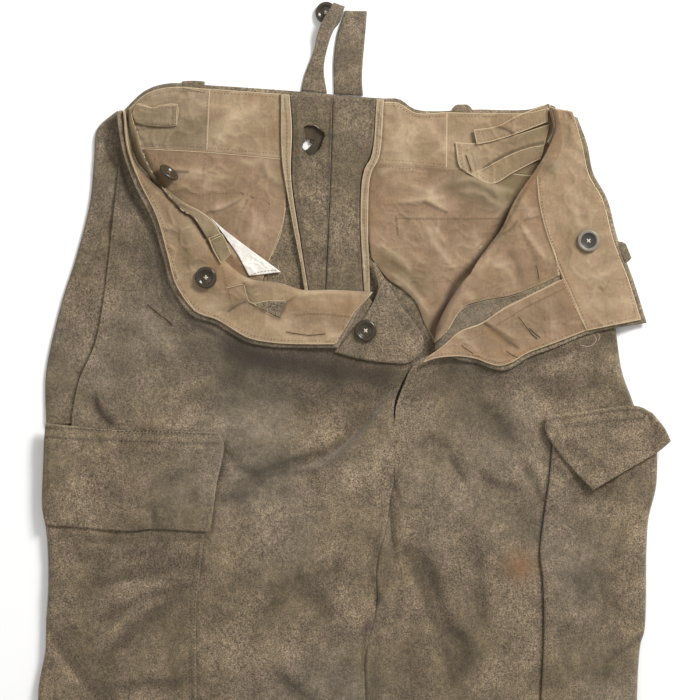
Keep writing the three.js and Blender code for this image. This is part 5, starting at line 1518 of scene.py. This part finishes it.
# %% Pale cords: turned edges and piped seams
PALE_EDGES = [
    [[129, 109], [145, 94.6], [167, 87.7], [209.4, 89.2]], [[211.8, 89.2], [286, 94.8]],
    [[385, 102.8], [398, 103.2], [416, 113.2], [446.8, 112.8]],
    [[449.2, 112.8], [500, 113.4], [528, 113.2], [546, 109]],
    [[124.9, 113.6], [128.9, 150], [141.3, 183.6], [157.3, 215.6], [168.3, 254.8], [177.2, 285.4], [196.4, 311],
     [217.4, 319.2], [248.4, 337.2], [274.2, 342.4], [310, 343.8], [334.6, 343.8]],
    [[336, 343.6], [347, 324.6], [354.6, 311.6], [372, 293]],
    [[422.6, 362], [436, 357.6], [461, 355.8], [478, 358.8], [488, 362.8], [499, 365.2], [510, 362.6], [526.6, 352.9],
     [555.6, 341.9], [584.6, 330.6]],
    [[571.6, 112.6], [581.3, 146.4], [587.8, 174.4], [601.7, 200.4], [612.7, 241.4], [627.7, 280.4], [640, 319.2]],
    [[586.6, 330.2], [612, 325], [640.4, 319.4]], LAPEL_SEAM, STRAP_EDGE, LOW_STRAP_EDGE,
    [[131.6, 110.6], [136.8, 103.6], [155, 107.9], [159, 105.8], [177, 104.8], [176.4, 125]],
    [[471, 174.4], [487.6, 166.8], [510.5, 154.8], [529.6, 147.8], [543.7, 145.2], [552, 138]],
    [[456, 143], [460.2, 166.6], [471, 174.2], [492, 183.4], [513, 172.4], [540.4, 158.2]],
    [[474.2, 130.2], [477.2, 144]], [[478, 144], [494, 140.5], [514, 134.2], [546, 122]],
    [[517, 116.2], [547, 104.4]], [[548.4, 104], [551.6, 111], [554.6, 128.4], [551, 137], [548, 142]],
    [[209.4, 239.4], [215, 252], [221.6, 263.4]], [[222, 234.4], [227, 243.6], [231, 254]],
    [[209.6, 241.6], [221.6, 236]],
    [[445.6, 333], [461.6, 309], [480.6, 302], [511.6, 296], [537.6, 286], [557, 276.4]],
    [[428, 357], [443, 346.2], [459.4, 332.2], [481.4, 323.6], [503.4, 308.4], [531.4, 294.4], [560.6, 279.6]],
    [[285.4, 208], [279.6, 236], [268.6, 260.6]], [[142, 148.6], [207, 152.2], [283, 159.2]],
    [[281.6, 95], [282.6, 159], [290.4, 208], [300.6, 262]], [[288.8, 95], [291, 129], [290.2, 177], [299.2, 240]],
    [[377.2, 100], [372.4, 155], [364.2, 172], [361.2, 218], [364.8, 282]],
    [[383.2, 100], [378.2, 157], [370.2, 174], [367.2, 218], [369.4, 282]],
    [[253.5, 303.4], [262.8, 310.2], [279.5, 318.8]], [[184.6, 294], [195, 311.4]], [[226.4, 288.4], [243, 284.2]],
    [[244, 284.6], [250.6, 302.6], [268, 301], [286, 301]],
]
sew("pale_edges", PALE_EDGES, THREAD, radius=0.42, stitch=None, lift=-0.12)

# %% Rows on the wool
WOOL_ROWS = [
    [[118, 430.8], [170, 431.8], [218, 435]], [[46, 427], [82, 428.6], [116, 431]],
    [[46, 437], [116, 440.4], [219, 443.6]],
    [[200.4, 536], [198, 575], [194.8, 604], [194.4, 700], [194.2, 718]],
    [[196.4, 536], [194, 575], [190.6, 604], [190, 718]],
    [[548, 421.6], [580, 416.6], [637, 410.6], [650, 416.6]], [[552, 428], [568, 424], [606, 420], [645, 418.5]],
    [[556, 446], [552.4, 482], [547.6, 517], [543.6, 553], [546.6, 581], [547.4, 638], [545, 718]],
    [[121, 163], [117.6, 202], [98.6, 342], [82, 382]], [[92, 396], [96, 410], [103, 420], [114, 427]],
    [[91, 1257], [196, 1256], [303, 1257]], [[388, 1257], [490, 1256], [598, 1257]], [[42, 716], [194, 716]],
    [[545, 716], [634, 716]],
    [[308.4, 78], [317.4, 49.6], [321, 37], [325.4, 25], [335, 9]],
    [[337, 90], [337, 60], [340.6, 36], [344.6, 22], [347.6, 13.6]],
    [[360.4, 92], [359.4, 76], [363.2, 25], [364, 13.6]], [[311.6, 79], [320, 50.6], [324, 37.6]],
    [[398, 470], [402, 440], [400, 410], [406, 390], [414, 374], [426, 365]],
]
sew("wool_stitches", WOOL_ROWS, WOOL_THREAD, radius=0.32, stitch=1.8, space=1.6, lift=-0.02)

# %% Buttonholes: a dark cord as painted shade in the slit, between two overcast edges
BUTTONHOLES = [
    [[466, 155.6], [468.4, 163], [471.4, 171]], [[518, 317], [524, 324.6], [529, 331]],
    [[461, 345.4], [467, 350], [473.6, 354]], [[506, 351.4], [512, 355], [518, 358]],
    [[286, 331.9], [297, 334], [308.6, 335.4], [325.4, 334]], [[536, 266.4], [537.4, 272], [538.6, 279]],
]
OPEN_HOLE = [[[527.6, 328.6], [532, 334.6], [536, 338]], [[529, 328], [534, 333], [540, 337.6]],
             [[532, 334], [537, 338.6]]]
sew("buttonhole_slits", BUTTONHOLES, SHADOW_THREAD, radius=0.34, stitch=None, lift=-0.1)
sew("open_buttonhole", OPEN_HOLE, WOOL_THREAD, radius=0.7, stitch=None, lift=-0.35)
sew("buttonhole_edges", [parallel(hole, away) for hole in BUTTONHOLES + OPEN_HOLE[:1] for away in (-0.8, 0.8)],
    HOLE_THREAD, radius=0.4, stitch=0.9, space=0.25, lift=0.05)
# The pocket's slit: a dark cord as painted shade in the opening, between two stitched edges.
POCKET_SLIT = [[147, 304.6], [151, 308], [156, 312], [161, 316.4], [167, 320], [172.6, 326]]
sew("pocket_slit", [POCKET_SLIT], SHADOW_THREAD, radius=0.5, stitch=None, lift=-0.2)
sew("pocket_slit_edges", [parallel(POCKET_SLIT, away) for away in (-1.1, 1.1)], BROWN_THREAD, radius=0.38,
    stitch=1.0, space=0.5, lift=0.05)

# %% Loose thread ends, knots and fibres
sew("loose_pale_threads", [
    [[588.4, 332.6], [593, 334.4], [596.4, 339], [593, 344.6], [588, 346.4], [580, 345]],
    [[314, 125], [317, 126.6], [321, 130.4]], [[352, 17.6], [354, 19]], [[352.6, 22], [354.4, 21]],
    [[183, 87.6], [194, 89.6], [203.4, 91.4]],
    [[479, 245], [481.4, 249.6]], [[477.6, 249], [482.6, 246]], [[169, 122.4], [170.6, 124.8]],
    [[596, 332], [600, 336], [598, 341]],
], THREAD, radius=0.26, stitch=None, lift=0.15)
sew("loose_dark_threads", [
    [[241, 192], [243.4, 194]], [[251, 196], [253, 197.6]], [[268, 202], [270, 204.6]],
], BROWN_THREAD, radius=0.34, stitch=None, lift=0.1)
sew("loose_brown_threads", [
    [[598, 287], [601, 289], [604, 291], [606.6, 286], [609, 280]], [[600, 285.6], [603.4, 289.6]],
    [[602, 292], [605.4, 289]],
], HOLE_THREAD, radius=0.34, stitch=None, lift=0.1)
sew("red_threads", [
    [[292.6, 132], [293, 136]], [[294, 150], [294.6, 155]], [[366.6, 142], [367, 148]], [[365, 168], [363.4, 173]],
    [[320, 146.6], [321.4, 148]], [[373, 118], [373, 122]],
], RED_THREAD, radius=0.26, stitch=None, lift=0.1)

# %% [markdown]
# ## Buttons
#
# A horn-like button is turned on a lathe, so its half profile is spun round its axis: a dished middle inside a
# round rim. Four dark discs as painted shade for its holes, and the thread through them, make it read as sewn on.

# %% One button, placed like its solid
def fit_of(node):
    """A button's middle and axis, from its solid: the axis is the direction in which the solid is thinnest."""
    points = np.array([v.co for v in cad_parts[node].data.vertices])
    middle = (points.max(axis=0) + points.min(axis=0)) / 2
    centred = points - points.mean(axis=0)
    axis = np.linalg.eigh(centred.T @ centred)[1][:, 0]
    return Vector(middle), Vector(axis if axis[2] > 0 else -axis)


DISHED = [(0.0050, 0.0015), (0.0056, 0.0018), (0.0063, 0.0027), (0.0071, 0.0032), (0.0083, 0.0035), (0.0093, 0.0032),
          (0.0098, 0.0025), (0.0099, 0.0017), (0.0092, 0.0007), (0.0070, 0.0)]
FLAT_RIMMED = [(0.0062, 0.0014), (0.0068, 0.0017), (0.0071, 0.0028), (0.0074, 0.0031), (0.0090, 0.0031),
               (0.0096, 0.0028),
               (0.0099, 0.0022), (0.0098, 0.0014), (0.0090, 0.0005), (0.0070, 0.0)]
HOLE_PLACE, HOLE_RADIUS, HOLE_LIFT = 0.0020, 0.0006, 0.00004
HALF_HEIGHT = 0.00175
THREAD_SIDE = 0.00032  # the two threads of a pair lie this far to each side
THREAD_ARCH = ((0, 0), (0.2, 0.0006), (0.5, 0.0008), (0.8, 0.0006), (1, 0))  # share of the way, rise in metres


def sew_button(name, node, finish, profile=DISHED, recess=None, thread=PALE_THREAD):
    """Spins the profile, lays four dark discs in the dish as painted shade for its holes, and sews through them with a
    cross of thread.
    """
    middle, axis = fit_of(node)
    form = bmesh.new()
    verts = [form.verts.new((radius, 0, height)) for radius, height in profile]
    edges = [form.edges.new(pair) for pair in zip(verts[:-1], verts[1:])]
    bmesh.ops.spin(form, geom=[*verts, *edges], cent=(0, 0, 0), axis=(0, 0, 1), dvec=(0, 0, 0),
                   angle=2 * math.pi, steps=48, use_merge=True, use_duplicate=False)
    bmesh.ops.remove_doubles(form, verts=form.verts, dist=1e-6)
    bmesh.ops.holes_fill(form, edges=[e for e in form.edges if e.is_boundary], sides=64)
    bmesh.ops.recalc_face_normals(form, faces=form.faces)
    for face in form.faces:
        in_dish = all(Vector(vert.co[:2]).length < profile[1][0] + 1e-5 and vert.co.z > 0.001 for vert in face.verts)
        face.material_index = 1 if in_dish and recess else 0
    holes = []
    for turn in range(4):
        angle = math.pi / 4 + turn * math.pi / 2
        place = Vector((HOLE_PLACE * math.cos(angle), HOLE_PLACE * math.sin(angle), profile[0][1] + HOLE_LIFT))
        holes.append(place)
        # Each hole is a flat disc in the dark thread's finish: painted shade, not an opening.
        ring = bmesh.ops.create_circle(form, cap_ends=True, segments=12, radius=HOLE_RADIUS,
                                       matrix=Matrix.Translation(place))
        for face in {face for vert in ring["verts"] for face in vert.link_faces}:
            face.material_index = 2
    turn = axis.to_track_quat("Z", "Y").to_matrix().to_4x4()
    seat = Matrix.Translation(middle) @ turn @ Matrix.Translation((0, 0, -HALF_HEIGHT))
    bmesh.ops.transform(form, matrix=seat, verts=form.verts)
    for face in form.faces:
        face.smooth = True
    mesh = bpy.data.meshes.new(name)
    form.to_mesh(mesh)
    form.free()
    piece = bpy.data.objects.new(name, mesh)
    bpy.context.scene.collection.objects.link(piece)
    finish_piece(piece, finish, [node])
    mesh.materials.append(recess or finish)
    mesh.materials.append(SHADOW_THREAD)
    runs = []
    for first, second in ((0, 2), (1, 3)):
        for side in (-THREAD_SIDE, THREAD_SIDE):
            start, end = holes[first], holes[second]
            beside_line = Vector((-(end - start).y, (end - start).x, 0)).normalized() * side
            runs.append([seat @ (start + (end - start) * share + beside_line + Vector((0, 0, rise)))
                         for share, rise in THREAD_ARCH])
    thread_piece(name + "_thread", runs, 0.3, thread)
    print(name, "at", [round(v * 1000, 1) for v in middle])


for name, node in (("fly_top_button", "button_fly_top"), ("underlap_button", "button_underlap")):
    sew_button(name, node, DARK_BUTTON)
sew_button("facing_button", "button_facing", GREY_BUTTON, FLAT_RIMMED, GREY_RECESS)
sew_button("adjuster_button", "button_strap", DARK_BUTTON, thread=BROWN_THREAD)
sew_button("centre_tab_button", "button_back_tab", DARK_BUTTON)
